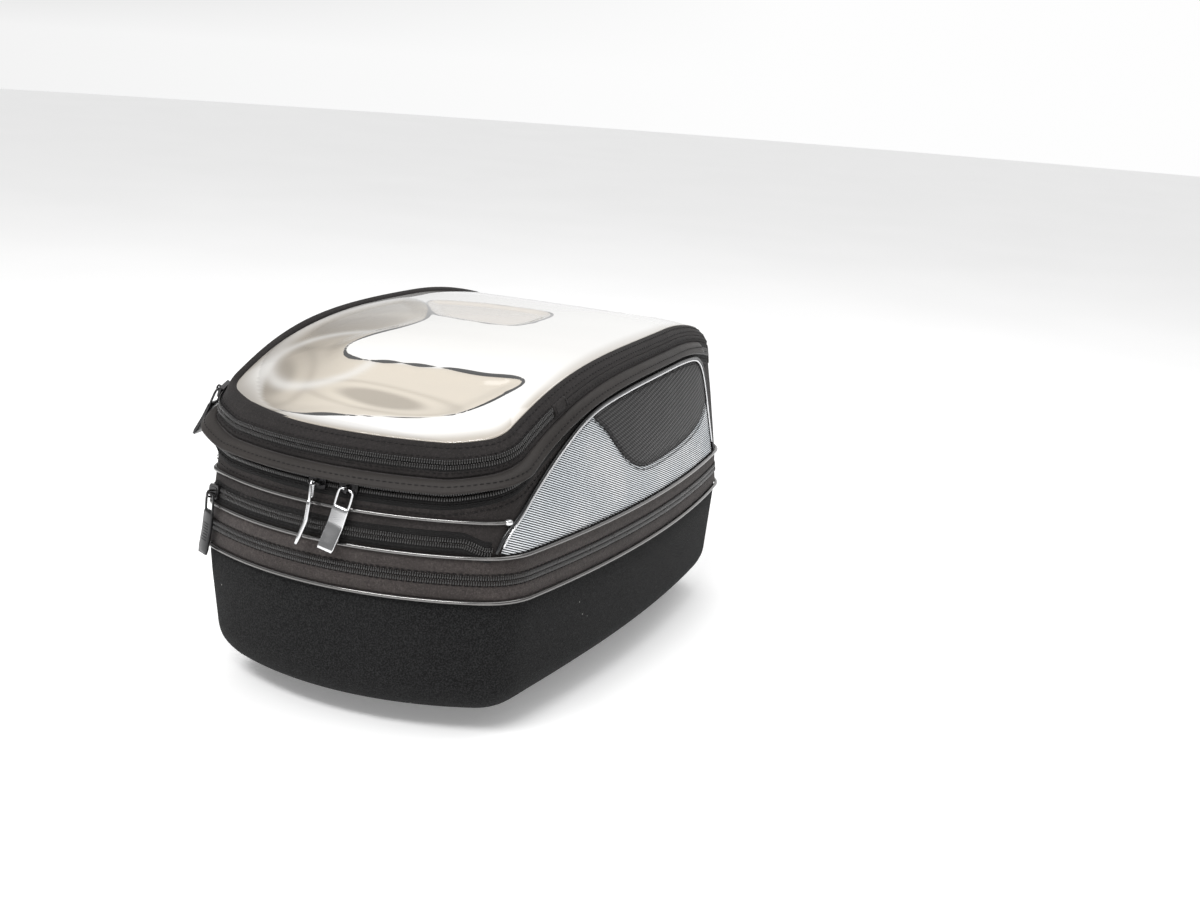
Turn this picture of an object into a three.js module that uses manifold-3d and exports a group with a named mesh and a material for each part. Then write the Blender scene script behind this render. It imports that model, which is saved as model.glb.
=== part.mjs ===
import * as THREE from 'three';
import { LoftGeometry } from 'three/addons/geometries/LoftGeometry.js';
import { mergeVertices } from 'three/addons/utils/BufferGeometryUtils.js';
import Module from 'manifold-3d';

// Expandable motorcycle tank bag, in millimetres.
// +X is the rider's right, +Y points to the front of the motorcycle and +Z is up.
// The origin is on the ground under the middle of the bag, and the Z axis is the centre of the
// arc that the rear panel and its zips follow.

const wasm = await Module();
wasm.setup();

// Plan outline at the base seam
const HALF_WIDTH = 126;
const SIDE_RADIUS = 950;
const SIDE_MIDDLE_Y = 5.5;
const REAR_RADIUS = 193.3;
const FRONT_Y = 191.6;
const FRONT_RADIUS = 500;
const CORNER_RADIUS = 38;
const HEIGHT_LINE_INSET = 18;

// Heights of the seams and zips
const TRAY_BOTTOM_Z = 13.5;
const TRAY_TOP_Z = 85.2;
const BASE_SEAM_Z = 85.6;
const EXPANSION_ZIP_Z = 98;
const WAIST_SEAM_Z = 111;
const POCKET_ZIP_Z = 118.5;
const POCKET_DIP = 4;
const POCKET_DIP_ANGLE = 26.5;
const REAR_PIPING_Z = 130.6;
const LID_REAR_Z = 143.3;
const RIM_REAR_Z = 171.4;

// The lid line climbs in an S from the rear corner and droops at the front
const RISE_START_Y = -161.7;
const RISE_LENGTH = 66;
const RISE_POWER = 1.3;
const LID_RISE = 50;
const RIM_RISE = 39;
const DROOP_START_Y = 68;
const DROOP_LENGTH = 90;
const DROOP = 12;

// Walls
const BASE_INSET = 1.5;
const WAIST_INSET = 3.6;
const WALL_LEAN = 0.16;
const EVA_THICKNESS = 5;
const WALL_THICKNESS = 4;
const BAND_THICKNESS = 2.5;
const BORDER_THICKNESS = 3.2;
const BORDER_INSET = 9.3;
const BORDER_BULGE = 1.8;
const GAP = 0.3;

// Zips and piping
const PIPING_RADIUS = 1.25;
const PIPING_SIDES = 6;
const COIL_HEIGHT = 1.9;
const COIL_OUT = 1.3;
const MAP_ZIP_FRACTION = 0.39;
const MAP_SPLIT_Y = -104;
const MAP_ZIP_END_Y = -106;
const MAP_SLIDER_Y = -137;
const MAP_SLIDER_TRAVEL = 22;
const FLAP_END_Y = 125;
const MAIN_ZIP_END_Y = 150;

// Slider angles about the Z axis, in degrees from the middle of the rear panel
const MAIN_RIGHT_ANGLE = 6.4;
const MAIN_LEFT_ANGLE = 0.3;
const POCKET_ANGLE = -25.5;
const EXPANSION_ANGLE = -8;

// Quick-release ring under the tray
const RING_Y = 15;
const RING_OUTER = 70;
const RING_INNER = 60;
const RING_HEIGHT = 8.9;
const ADAPTER_RADIUS = 78;
const ADAPTER_BOTTOM_Z = 9.2;
const ADAPTER_TOP_Z = 13.2;
const SCREW_CIRCLE_RADIUS = 74;
const SCREW_RADIUS = 2;
const SCREW_ANGLES = [45, 135, 225, 315];

const lerp = THREE.MathUtils.lerp;
const radians = THREE.MathUtils.degToRad;

// ---------- solids ----------

// Merge shared corners, drop the faces that collapsed to a line and turn all faces outwards.
function closedGeometry(geometry) {
  const bare = new THREE.BufferGeometry().copy(geometry);
  bare.deleteAttribute('normal');
  bare.deleteAttribute('uv');
  const merged = mergeVertices(bare, 1e-4);
  const position = merged.getAttribute('position');
  const kept = [];
  let volume = 0;
  const [a, b, c] = [new THREE.Vector3(), new THREE.Vector3(), new THREE.Vector3()];
  for (let i = 0; i < merged.index.count; i += 3) {
    const face = [0, 1, 2].map((k) => merged.index.getX(i + k));
    if (face[0] === face[1] || face[1] === face[2] || face[2] === face[0]) continue;
    a.fromBufferAttribute(position, face[0]);
    b.fromBufferAttribute(position, face[1]);
    c.fromBufferAttribute(position, face[2]);
    volume += a.dot(b.clone().cross(c));
    kept.push(face);
  }
  const index = kept.flatMap(([i, j, k]) => (volume > 0 ? [i, j, k] : [i, k, j]));
  merged.setIndex(index);
  return merged;
}

function toSolid(geometry) {
  const closed = closedGeometry(geometry);
  const vertProperties = Float32Array.from(closed.getAttribute('position').array);
  const triVerts = Uint32Array.from(closed.index.array);
  return new wasm.Manifold(new wasm.Mesh({ numProp: 3, vertProperties, triVerts }));
}

function fromSolid(solid) {
  const { vertProperties, triVerts } = solid.getMesh();
  const geometry = new THREE.BufferGeometry();
  geometry.setAttribute('position', new THREE.BufferAttribute(Float32Array.from(vertProperties), 3));
  geometry.setIndex(new THREE.BufferAttribute(Uint32Array.from(triVerts), 1));
  return geometry;
}

function placed(geometry, x, y, z) {
  return geometry.translate(x, y, z);
}

// A box from its low and high corners
function boxBetween(low, high) {
  const size = high.map((value, i) => value - low[i]);
  return placed(new THREE.BoxGeometry(...size), ...low.map((value, i) => value + size[i] / 2));
}

// A round bar standing along Z
function postBetween(radius, x, y, lowZ, highZ, sides = 12) {
  const post = new THREE.CylinderGeometry(radius, radius, highZ - lowZ, sides).rotateX(Math.PI / 2);
  return placed(post, x, y, (lowZ + highZ) / 2);
}

// ---------- plan outline ----------

const REAR_CENTRE = new THREE.Vector2(0, 0);
const SIDE_CENTRE = new THREE.Vector2(HALF_WIDTH - SIDE_RADIUS, SIDE_MIDDLE_Y);
const FRONT_CENTRE = new THREE.Vector2(0, FRONT_Y - FRONT_RADIUS);

// Centre of the fillet that joins an end arc to the side arc. side is -1 at the rear, 1 in front.
function filletCentre(endCentre, endRadius, side) {
  const r1 = endRadius - CORNER_RADIUS;
  const r2 = SIDE_RADIUS - CORNER_RADIUS;
  const between = SIDE_CENTRE.clone().sub(endCentre);
  const length = between.length();
  const along = (r1 * r1 - r2 * r2 + length * length) / (2 * length);
  const across = Math.sqrt(r1 * r1 - along * along);
  const direction = between.normalize();
  const normal = new THREE.Vector2(-direction.y, direction.x);
  const options = [1, -1].map((sign) => endCentre.clone()
    .addScaledVector(direction, along)
    .addScaledVector(normal, sign * across));
  return options.find((point) => point.x > 0 && Math.sign(point.y) === side);
}

const rearCorner = filletCentre(REAR_CENTRE, REAR_RADIUS, -1);
const frontCorner = filletCentre(FRONT_CENTRE, FRONT_RADIUS, 1);
const directionFrom = (centre, point) => Math.atan2(point.y - centre.y, point.x - centre.x);
const rearEnd = directionFrom(REAR_CENTRE, rearCorner);
const sideStart = directionFrom(SIDE_CENTRE, rearCorner);
const sideEnd = directionFrom(SIDE_CENTRE, frontCorner);
const frontStart = directionFrom(FRONT_CENTRE, frontCorner);

// The right half of the outline, from the middle of the rear to the middle of the front
const ARCS = [
  { centre: REAR_CENTRE, radius: REAR_RADIUS, from: -Math.PI / 2, to: rearEnd, steps: 5 },
  { centre: rearCorner, radius: CORNER_RADIUS, from: rearEnd, to: sideStart, steps: 4 },
  { centre: SIDE_CENTRE, radius: SIDE_RADIUS, from: sideStart, to: sideEnd, steps: 7 },
  { centre: frontCorner, radius: CORNER_RADIUS, from: sideEnd, to: frontStart, steps: 4 },
  { centre: FRONT_CENTRE, radius: FRONT_RADIUS, from: frontStart, to: Math.PI / 2, steps: 2 },
];
const arcLength = (arc) => arc.radius * (arc.to - arc.from);
const HALF_LENGTH = ARCS.reduce((sum, arc) => sum + arcLength(arc), 0);

// Outline place: t is 0 at the middle of the rear, 1 at the middle of the front, 1 to 2 and
// negative values on the left half.
function outlinePlace(t) {
  const turn = ((t % 2) + 2) % 2;
  const mirrored = turn > 1;
  let distance = (mirrored ? 2 - turn : turn) * HALF_LENGTH;
  let arc = ARCS[0];
  for (arc of ARCS) {
    if (distance <= arcLength(arc) + 1e-9) break;
    distance -= arcLength(arc);
  }
  const angle = arc.from + distance / arc.radius;
  const sign = mirrored ? -1 : 1;
  return {
    centre: new THREE.Vector2(sign * arc.centre.x, arc.centre.y),
    radius: arc.radius,
    normal: new THREE.Vector2(sign * Math.cos(angle), Math.sin(angle)),
  };
}

function pointOn(t, inset, z) {
  const { centre, radius, normal } = outlinePlace(t);
  const flat = centre.clone().addScaledVector(normal, radius - inset);
  return new THREE.Vector3(flat.x, flat.y, z);
}

// Steps of the outline: denser in the corners
function halfSteps() {
  const steps = [0];
  let start = 0;
  for (const arc of ARCS) {
    for (let i = 1; i <= arc.steps; i += 1) {
      steps.push((start + (arcLength(arc) * i) / arc.steps) / HALF_LENGTH);
    }
    start += arcLength(arc);
  }
  return steps;
}

const HALF_STEPS = halfSteps();
const LOOP = [...HALF_STEPS, ...HALF_STEPS.slice(0, -1).reverse().map((t) => 2 - t)];

// The steps between two places, both ends included
function stepsBetween(from, to) {
  const all = [...LOOP.map((t) => t - 2), ...LOOP, ...LOOP.map((t) => t + 2)];
  const margin = 0.004;
  const inside = all.filter((t, i) => t > from + margin && t < to - margin && t !== all[i - 1]);
  return [from, ...inside, to];
}

// The place on the right half where the outline, moved in by inset, reaches y
function placeAtY(y, inset) {
  let [low, high] = [0, 1];
  for (let i = 0; i < 40; i += 1) {
    const middle = (low + high) / 2;
    if (pointOn(middle, inset, 0).y < y) low = middle;
    else high = middle;
  }
  return (low + high) / 2;
}

const rearArcPlace = (degrees) => (radians(degrees) * REAR_RADIUS) / HALF_LENGTH;

// ---------- heights ----------

const lineY = (t) => pointOn(t, HEIGHT_LINE_INSET, 0).y;
const rise = (y) => 1 - Math.exp(-((Math.max(0, y - RISE_START_Y) / RISE_LENGTH) ** RISE_POWER));
const droop = (y) => DROOP * (Math.max(0, y - DROOP_START_Y) / DROOP_LENGTH) ** 2;
const lidLine = (y) => LID_REAR_Z + LID_RISE * rise(y) - droop(y);
const grooveLine = (y) => lidLine(y) + 9.6 - 3.2 * rise(y);
const rimLine = (y) => RIM_REAR_Z + RIM_RISE * rise(y) - droop(y);

// How far the wall's outer face lies inside the plan outline at a height
function wallInset(z) {
  if (z >= WAIST_SEAM_Z) return WAIST_INSET + WALL_LEAN * (z - WAIST_SEAM_Z);
  return lerp(BASE_INSET, WAIST_INSET, (z - BASE_SEAM_Z) / (WAIST_SEAM_Z - BASE_SEAM_Z));
}

// ---------- lofted bodies ----------

const centroid = (points) => points
  .reduce((sum, point) => sum.add(point), new THREE.Vector3())
  .divideScalar(points.length);

// Sections that end at both ends in a flat cap
function cappedLoft(sections) {
  const collapse = (points) => points.map(() => centroid(points));
  return new LoftGeometry([collapse(sections[0]), ...sections, collapse(sections.at(-1))]);
}

// A band that follows the outline. section(t) lists its [inset, z] corners.
function band(places, section) {
  const sections = places.map((t) => section(t).map(([inset, z]) => pointOn(t, inset, z)));
  const isLoop = sections[0][0].distanceTo(sections.at(-1)[0]) < 1e-3;
  return isLoop ? new LoftGeometry(sections) : cappedLoft(sections);
}

// A round piping along a line on the outline. line(t) gives its [inset, z] centre.
function piping(places, line) {
  const centre = (t) => {
    const [inset, z] = line(t);
    return pointOn(t, inset, z);
  };
  const step = 1e-3;
  const sections = places.map((t) => {
    const tangent = centre(t + step).sub(centre(t - step)).normalize();
    const { normal } = outlinePlace(t);
    const up = tangent.clone().cross(new THREE.Vector3(normal.x, normal.y, 0)).normalize();
    const out = up.clone().cross(tangent);
    return Array.from({ length: PIPING_SIDES }, (_, i) => {
      const angle = (2 * Math.PI * i) / PIPING_SIDES;
      return centre(t)
        .addScaledVector(out, PIPING_RADIUS * Math.cos(angle))
        .addScaledVector(up, PIPING_RADIUS * Math.sin(angle));
    });
  });
  const isLoop = sections[0][0].distanceTo(sections.at(-1)[0]) < 1e-3;
  return isLoop ? new LoftGeometry(sections) : cappedLoft(sections);
}

// A body made of rings round the Z axis, from a centre point below to a centre point above or
// inside. Each ring gives its inset, its scale towards the middle and its height at a place.
function rings(list) {
  const places = LOOP.slice(0, -1);
  const ringPoints = ({ inset, scale = 1, z }) => places.map((t) => {
    const height = typeof z === 'function' ? z(t, scale) : z;
    const at = typeof inset === 'function' ? inset(t) : inset;
    const point = pointOn(t, at, height);
    return new THREE.Vector3(point.x * scale, point.y * scale, height);
  });
  return new LoftGeometry(list.map(ringPoints));
}

// ---------- base ----------

const WALL_TAPER = 3;
const EDGE_RISE = 25;
const EDGE_IN = 21;
const EDGE_STEPS = 4;
const SIDE_TUCK = 14;
const SIDE_TUCK_HALF_LENGTH = 140;

// The tray's lower edge is straighter than its rim, so it tucks in along the middle of the sides.
function sideTuck(t) {
  const along = (lineY(t) - SIDE_MIDDLE_Y) / SIDE_TUCK_HALF_LENGTH;
  return SIDE_TUCK * Math.max(0, 1 - along * along);
}

const floorInset = (t) => BASE_INSET + WALL_TAPER + EDGE_IN + sideTuck(t);

// The quarter ellipse from the tray's floor up to its wall, moved in by the shell's thickness
function trayEdge(thickness) {
  return Array.from({ length: EDGE_STEPS + 1 }, (_, i) => {
    const angle = (Math.PI / 2) * (i / EDGE_STEPS);
    const across = EDGE_IN - thickness;
    const up = EDGE_RISE - thickness;
    return {
      inset: (t) => floorInset(t) - (across + sideTuck(t)) * Math.sin(angle),
      z: TRAY_BOTTOM_Z + EDGE_RISE - up * Math.cos(angle),
    };
  });
}

const screwSpots = SCREW_ANGLES.map((degrees) => [
  SCREW_CIRCLE_RADIUS * Math.cos(radians(degrees)),
  RING_Y + SCREW_CIRCLE_RADIUS * Math.sin(radians(degrees)),
]);

// Cut the four screw holes through a plate
function withScrewHoles(geometry, lowZ, highZ) {
  let solid = toSolid(geometry);
  for (const [x, y] of screwSpots) {
    solid = solid.subtract(toSolid(postBetween(SCREW_RADIUS + GAP, x, y, lowZ, highZ, 8)));
  }
  return fromSolid(solid);
}

function baseTray() {
  const shell = rings([
    { inset: floorInset, scale: 0, z: TRAY_BOTTOM_Z },
    ...trayEdge(0),
    { inset: BASE_INSET, z: TRAY_TOP_Z },
    { inset: BASE_INSET + EVA_THICKNESS, z: TRAY_TOP_Z },
    ...trayEdge(EVA_THICKNESS).reverse(),
    { inset: floorInset, scale: 0, z: TRAY_BOTTOM_Z + EVA_THICKNESS },
  ]);
  return withScrewHoles(shell, TRAY_BOTTOM_Z - 1, TRAY_BOTTOM_Z + EVA_THICKNESS + 1);
}

const BOARD_BOTTOM_Z = TRAY_BOTTOM_Z + EVA_THICKNESS + GAP;
const BOARD_TOP_Z = BOARD_BOTTOM_Z + 2.5;
const BOARD_INSET = 38;

function baseBoard() {
  const plate = rings([
    { inset: BOARD_INSET, scale: 0, z: BOARD_BOTTOM_Z },
    { inset: BOARD_INSET, z: BOARD_BOTTOM_Z },
    { inset: BOARD_INSET, z: BOARD_TOP_Z },
    { inset: BOARD_INSET, scale: 0, z: BOARD_TOP_Z },
  ]);
  return withScrewHoles(plate, BOARD_BOTTOM_Z - 1, BOARD_TOP_Z + 1);
}

function adapterPlate() {
  const disc = postBetween(ADAPTER_RADIUS, 0, RING_Y, ADAPTER_BOTTOM_Z, ADAPTER_TOP_Z, 40);
  return withScrewHoles(disc, ADAPTER_BOTTOM_Z - 1, ADAPTER_TOP_Z + 1);
}

const SCREW_HEAD_HEIGHT = 2.2;
const SCREW_HEAD_RADIUS = 4;

// A pan-head screw, head under the adapter plate, tip just above the stiffener board
function adapterScrew([x, y]) {
  const headTop = ADAPTER_BOTTOM_Z - GAP;
  const head = postBetween(SCREW_HEAD_RADIUS, x, y, headTop - SCREW_HEAD_HEIGHT, headTop, 12);
  const shank = postBetween(SCREW_RADIUS, x, y, headTop - 1, BOARD_TOP_Z + 1.5, 8);
  return fromSolid(toSolid(head).add(toSolid(shank)));
}

// Latch parts, placed by their distance behind the ring's centre
const HOUSING_REAR = 92;
const HOUSING_HALF_WIDTH = 13;
const CHANNEL_HALF_WIDTH = 7.3;
const CHANNEL_LOW_Z = 1.8;
const CHANNEL_HIGH_Z = 7.4;
const CHANNEL_REAR = 88;
const BOLT_TIP = 53;
const BOLT_REAR = 71;
const ROD_RADIUS = 1.2;
const LATCH_Z = (CHANNEL_LOW_Z + CHANNEL_HIGH_Z) / 2;

// A bar along Y from a near to a far distance behind the ring's centre
function rearBar(radius, near, far, sides = 10) {
  const bar = new THREE.CylinderGeometry(radius, radius, far - near, sides);
  return placed(bar, 0, RING_Y - (near + far) / 2, LATCH_Z);
}

function rearBox(halfWidth, near, far, lowZ, highZ) {
  return boxBetween([-halfWidth, RING_Y - far, lowZ], [halfWidth, RING_Y - near, highZ]);
}

function lockRing() {
  const profile = [
    [RING_INNER, 0], [RING_OUTER, 0], [RING_OUTER, RING_HEIGHT],
    [RING_INNER - 2.5, RING_HEIGHT], [RING_INNER - 2.5, RING_HEIGHT - 2], [RING_INNER, RING_HEIGHT - 3.5],
  ].map(([radius, z]) => new THREE.Vector2(radius, z));
  profile.push(profile[0].clone());
  const ring = placed(new THREE.LatheGeometry(profile, 40).rotateX(Math.PI / 2), 0, RING_Y, 0);
  const housing = rearBox(HOUSING_HALF_WIDTH, RING_INNER + 4, HOUSING_REAR, 0, RING_HEIGHT);
  const channel = rearBox(CHANNEL_HALF_WIDTH, RING_INNER - 6, CHANNEL_REAR, CHANNEL_LOW_Z, CHANNEL_HIGH_Z);
  const rodHole = rearBar(ROD_RADIUS + 0.4, CHANNEL_REAR - 2, HOUSING_REAR + 2);
  return fromSolid(toSolid(ring).add(toSolid(housing)).subtract(toSolid(channel)).subtract(toSolid(rodHole)));
}

function latchBolt() {
  const half = CHANNEL_HALF_WIDTH - GAP;
  const block = new THREE.Shape([
    [-half, BOLT_REAR], [half, BOLT_REAR], [half, BOLT_TIP + 5],
    [half - 4, BOLT_TIP], [4 - half, BOLT_TIP], [-half, BOLT_TIP + 5],
  ].map(([x, distance]) => new THREE.Vector2(x, RING_Y - distance)));
  const depth = CHANNEL_HIGH_Z - CHANNEL_LOW_Z - 2 * GAP;
  const bolt = placed(new THREE.ExtrudeGeometry(block, { depth, bevelEnabled: false }), 0, 0, CHANNEL_LOW_Z + GAP);
  const rod = rearBar(ROD_RADIUS, BOLT_REAR - 2, HOUSING_REAR + 1.2);
  return fromSolid(toSolid(bolt).add(toSolid(rod)));
}

function releaseTab() {
  const slot = new THREE.Path().absellipse(0, -9, 5, 2.4, 0, 2 * Math.PI);
  const outline = new THREE.Shape();
  outline.moveTo(-6, 0).lineTo(6, 0).lineTo(9, -6).lineTo(9, -11);
  outline.absarc(5, -11, 4, 0, -Math.PI / 2, true);
  outline.lineTo(-5, -15);
  outline.absarc(-5, -11, 4, -Math.PI / 2, -Math.PI, true);
  outline.lineTo(-9, -6);
  outline.closePath();
  outline.holes.push(slot);
  const tab = new THREE.ExtrudeGeometry(outline, { depth: 3, bevelEnabled: false, curveSegments: 4 });
  return placed(tab, 0, RING_Y - HOUSING_REAR - 1.5, LATCH_Z - 1.5);
}

const SPRING_COIL_RADIUS = 2.1;
const SPRING_WIRE_RADIUS = 0.4;
const SPRING_TURNS = 5;

class SpringPath extends THREE.Curve {
  getPoint(u, target = new THREE.Vector3()) {
    const near = BOLT_REAR + SPRING_WIRE_RADIUS + GAP;
    const far = CHANNEL_REAR - SPRING_WIRE_RADIUS - GAP;
    const angle = 2 * Math.PI * SPRING_TURNS * u;
    return target.set(
      SPRING_COIL_RADIUS * Math.cos(angle),
      RING_Y - lerp(near, far, u),
      LATCH_Z + SPRING_COIL_RADIUS * Math.sin(angle),
    );
  }
}

function latchSpring() {
  const wire = new THREE.Shape().absarc(0, 0, SPRING_WIRE_RADIUS, 0, 2 * Math.PI);
  return new THREE.ExtrudeGeometry(wire, {
    steps: SPRING_TURNS * 10, curveSegments: 2, extrudePath: new SpringPath(), bevelEnabled: false,
  });
}

const SLEEVE_INSET = 9.8;
const SLEEVE_THICKNESS = 1.2;
const SLEEVE_BOTTOM_Z = 45;
const SLEEVE_TOP_Z = 110;

// The corners of an upright band between two heights, its outer face on the wall
const wallBand = (lowZ, highZ, thickness) => () => [
  [wallInset(lowZ), lowZ], [wallInset(highZ), highZ],
  [wallInset(highZ) + thickness, highZ], [wallInset(lowZ) + thickness, lowZ],
];

// The corners of one half of a zip coil, from a low to a high height on the wall
const coilHalf = (lowZ, highZ) => [
  [wallInset(lowZ) - GAP, lowZ], [wallInset(highZ) - GAP, highZ],
  [wallInset(highZ) - COIL_OUT, highZ], [wallInset(lowZ) - COIL_OUT, lowZ],
];

// ---------- side panels ----------

// The piping round the silver side panel, from its rear tip over the top and down the front edge
const SIDE_PIPING_POINTS = [
  [-158.5, 113.5], [-152, 126], [-135, 142.5], [-101, 163.5], [-65, 178.5], [-20, 185],
  [40, 187.5], [90, 186.5], [120, 182], [134, 168], [143, 132], [147, 113.5],
];
// The edge between the silver panel and the dark insert
const INSERT_POINTS = [
  [-64, 175.4], [-49, 165], [-26, 144], [0, 133.5], [45, 133.5], [90, 136.5], [118, 142], [134.6, 151.5],
];
const PANEL_THICKNESS = 1;

const flatCurve = (points) => new THREE.SplineCurve(points.map(([y, z]) => new THREE.Vector2(y, z)));
const sidePipingCurve = flatCurve(SIDE_PIPING_POINTS);
const insertCurve = flatCurve(INSERT_POINTS);

// Push a closed (y, z) outline through the bag's right wall and keep the skin inside it
function panelFrom(outline) {
  const prism = new THREE.ExtrudeGeometry(new THREE.Shape(outline), { depth: 90, bevelEnabled: false });
  const facing = new THREE.Matrix4().makeBasis(
    new THREE.Vector3(0, 1, 0), new THREE.Vector3(0, 0, 1), new THREE.Vector3(1, 0, 0),
  );
  prism.applyMatrix4(facing).translate(50, 0, 0);
  const lowZ = WAIST_SEAM_Z - 4;
  const highZ = lidLine(DROOP_START_Y);
  const skin = band(stepsBetween(placeAtY(-172, 4), placeAtY(165, 4)), () => [
    [wallInset(lowZ) - GAP - PANEL_THICKNESS, lowZ], [wallInset(highZ) - GAP - PANEL_THICKNESS, highZ],
    [wallInset(highZ) - GAP, highZ], [wallInset(lowZ) - GAP, lowZ],
  ]);
  return fromSolid(toSolid(skin).intersect(toSolid(prism)));
}

const PIPING_MARGIN = 2.4;

// The piping's line moved into the panel by the piping's own width
function insidePiping(count) {
  return Array.from({ length: count + 1 }, (_, i) => {
    const u = i / count;
    const tangent = sidePipingCurve.getTangent(u);
    return sidePipingCurve.getPoint(u).add(new THREE.Vector2(tangent.y, -tangent.x).multiplyScalar(PIPING_MARGIN));
  });
}

const PANEL_LOW_Z = WAIST_SEAM_Z + 1.8;

function sideInsert() {
  const lower = insertCurve.getPoints(10);
  const first = lower[0].y;
  const upper = insidePiping(26).filter((p) => p.x > lower[0].x && (p.x < 130 || p.y > lower.at(-1).y));
  return panelFrom([...lower, ...upper.reverse().filter((p) => p.y > 150 || p.y > first)]);
}

function sidePanel() {
  const edge = insidePiping(26).filter((p) => p.y > PANEL_LOW_Z);
  const insert = insertCurve.getPoints(10).map((p) => new THREE.Vector2(p.x, p.y - GAP));
  const before = edge.filter((p) => p.x < insert[0].x);
  const after = edge.filter((p) => p.x > 130 && p.y < insert.at(-1).y);
  return panelFrom([
    new THREE.Vector2(edge[0].x + 2, PANEL_LOW_Z), ...before, ...insert, ...after,
    new THREE.Vector2(after.at(-1).x, PANEL_LOW_Z),
  ]);
}

// A tube along the side piping curve, just outside the right wall
function sidePiping() {
  const count = 30;
  const centre = (u) => {
    const { x: y, y: z } = sidePipingCurve.getPoint(THREE.MathUtils.clamp(u, 0, 1));
    const inset = wallInset(z) - PIPING_RADIUS - GAP;
    return { t: placeAtY(y, inset), inset, z };
  };
  const at = (u) => {
    const { t, inset, z } = centre(u);
    return pointOn(t, inset, z);
  };
  const sections = Array.from({ length: count + 1 }, (_, i) => {
    const u = i / count;
    const tangent = at(u + 0.005).sub(at(u - 0.005)).normalize();
    const { normal } = outlinePlace(centre(u).t);
    const up = tangent.clone().cross(new THREE.Vector3(normal.x, normal.y, 0)).normalize();
    const out = up.clone().cross(tangent);
    return Array.from({ length: PIPING_SIDES }, (_, k) => {
      const angle = (2 * Math.PI * k) / PIPING_SIDES;
      return at(u)
        .addScaledVector(out, PIPING_RADIUS * Math.cos(angle))
        .addScaledVector(up, PIPING_RADIUS * Math.sin(angle));
    });
  });
  return cappedLoft(sections);
}

// ---------- upper wall ----------

function upperWall() {
  return band(LOOP, (t) => {
    const top = lidLine(lineY(t)) - GAP;
    const low = WAIST_SEAM_Z + GAP;
    return [
      [wallInset(low), low], [wallInset(top), top],
      [wallInset(top) + WALL_THICKNESS, top], [wallInset(low) + WALL_THICKNESS, low],
    ];
  });
}

const HANDLE_HALF_LENGTH = 62;
const HANDLE_BOW = 14.5;
const HANDLE_THICKNESS = 2.4;
const HANDLE_HEIGHT = 24;
const HANDLE_Z = 145;

// A webbing strap that bows out from the front wall between its two sewn ends
function carryHandle() {
  const bowY = (x) => HANDLE_BOW * Math.sin((Math.PI / 2) * Math.min(1, (HANDLE_HALF_LENGTH - Math.abs(x)) / 26));
  const wallY = (x) => Math.sqrt(FRONT_RADIUS ** 2 - x ** 2) - FRONT_RADIUS;
  const spots = [-62, -56, -49, -42, -36, -20, 0, 20, 36, 42, 49, 56, 62];
  const inner = spots.map((x) => new THREE.Vector2(x, wallY(x) + bowY(x)));
  const outer = spots.map((x) => new THREE.Vector2(x, wallY(x) + bowY(x) + HANDLE_THICKNESS)).reverse();
  return new THREE.ExtrudeGeometry(new THREE.Shape([...inner, ...outer]), {
    depth: HANDLE_HEIGHT, bevelEnabled: false,
  });
}

// ---------- lid ----------

const SKIRT_THICKNESS = 3.5;

function lidSkirt() {
  return band(LOOP, (t) => {
    const low = lidLine(lineY(t)) + GAP;
    const high = grooveLine(lineY(t));
    return [
      [wallInset(low), low], [wallInset(high), high],
      [wallInset(high) + SKIRT_THICKNESS, high], [wallInset(low) + SKIRT_THICKNESS, low],
    ];
  });
}

const FLAP_REAR_INSET = 1.1;
const FLAP_SIDE_OUT = 4.2;
const FLAP_BLEND_LENGTH = 45;

// The rain flap leans out far at the rear and hugs the wall along the sides
function rainFlap() {
  const end = placeAtY(FLAP_END_Y, HEIGHT_LINE_INSET);
  return band(stepsBetween(-end, end), (t) => {
    const y = lineY(t);
    const side = THREE.MathUtils.smoothstep(y, RISE_START_Y, RISE_START_Y + FLAP_BLEND_LENGTH);
    const root = wallInset(grooveLine(y)) - GAP;
    const top = grooveLine(y) - GAP;
    const lipInset = lerp(FLAP_REAR_INSET, wallInset(lidLine(y)) - FLAP_SIDE_OUT, side);
    const lipZ = lidLine(y) + lerp(2.9, -1.2, side);
    return [[root, top], [lipInset, lipZ + 2.2], [lipInset, lipZ], [wallInset(top - 1.7) - GAP, top - 1.7]];
  });
}

// A point of the lid's border, from the groove at 0 to the window rim at 1
function borderPoint(t, fraction, out = 0) {
  const y = lineY(t);
  const low = grooveLine(y) + GAP;
  const bulge = 4 * BORDER_BULGE * fraction * (1 - fraction);
  const inset = wallInset(grooveLine(y)) + BORDER_INSET * fraction - bulge - out;
  return [inset, lerp(low, rimLine(y), fraction)];
}

const borderSection = (t, fractions) => [
  ...fractions.map((f) => borderPoint(t, f)),
  ...[...fractions].reverse().map((f) => borderPoint(t, f, -BORDER_THICKNESS)),
];

const LOWER_BORDER = [0, MAP_ZIP_FRACTION - 0.02];
const UPPER_BORDER = [MAP_ZIP_FRACTION + 0.02, 0.7, 1];

function lidBorder() {
  const lower = band(LOOP, (t) => borderSection(t, LOWER_BORDER));
  const split = placeAtY(MAP_SPLIT_Y + GAP, HEIGHT_LINE_INSET);
  const upper = band(stepsBetween(split, 2 - split), (t) => borderSection(t, [0.2, 0.6, 1]));
  return fromSolid(toSolid(lower).add(toSolid(upper)));
}

function mapFlapBorder() {
  const split = placeAtY(MAP_SPLIT_Y - GAP, HEIGHT_LINE_INSET);
  return band(stepsBetween(-split, split), (t) => borderSection(t, UPPER_BORDER));
}

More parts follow.
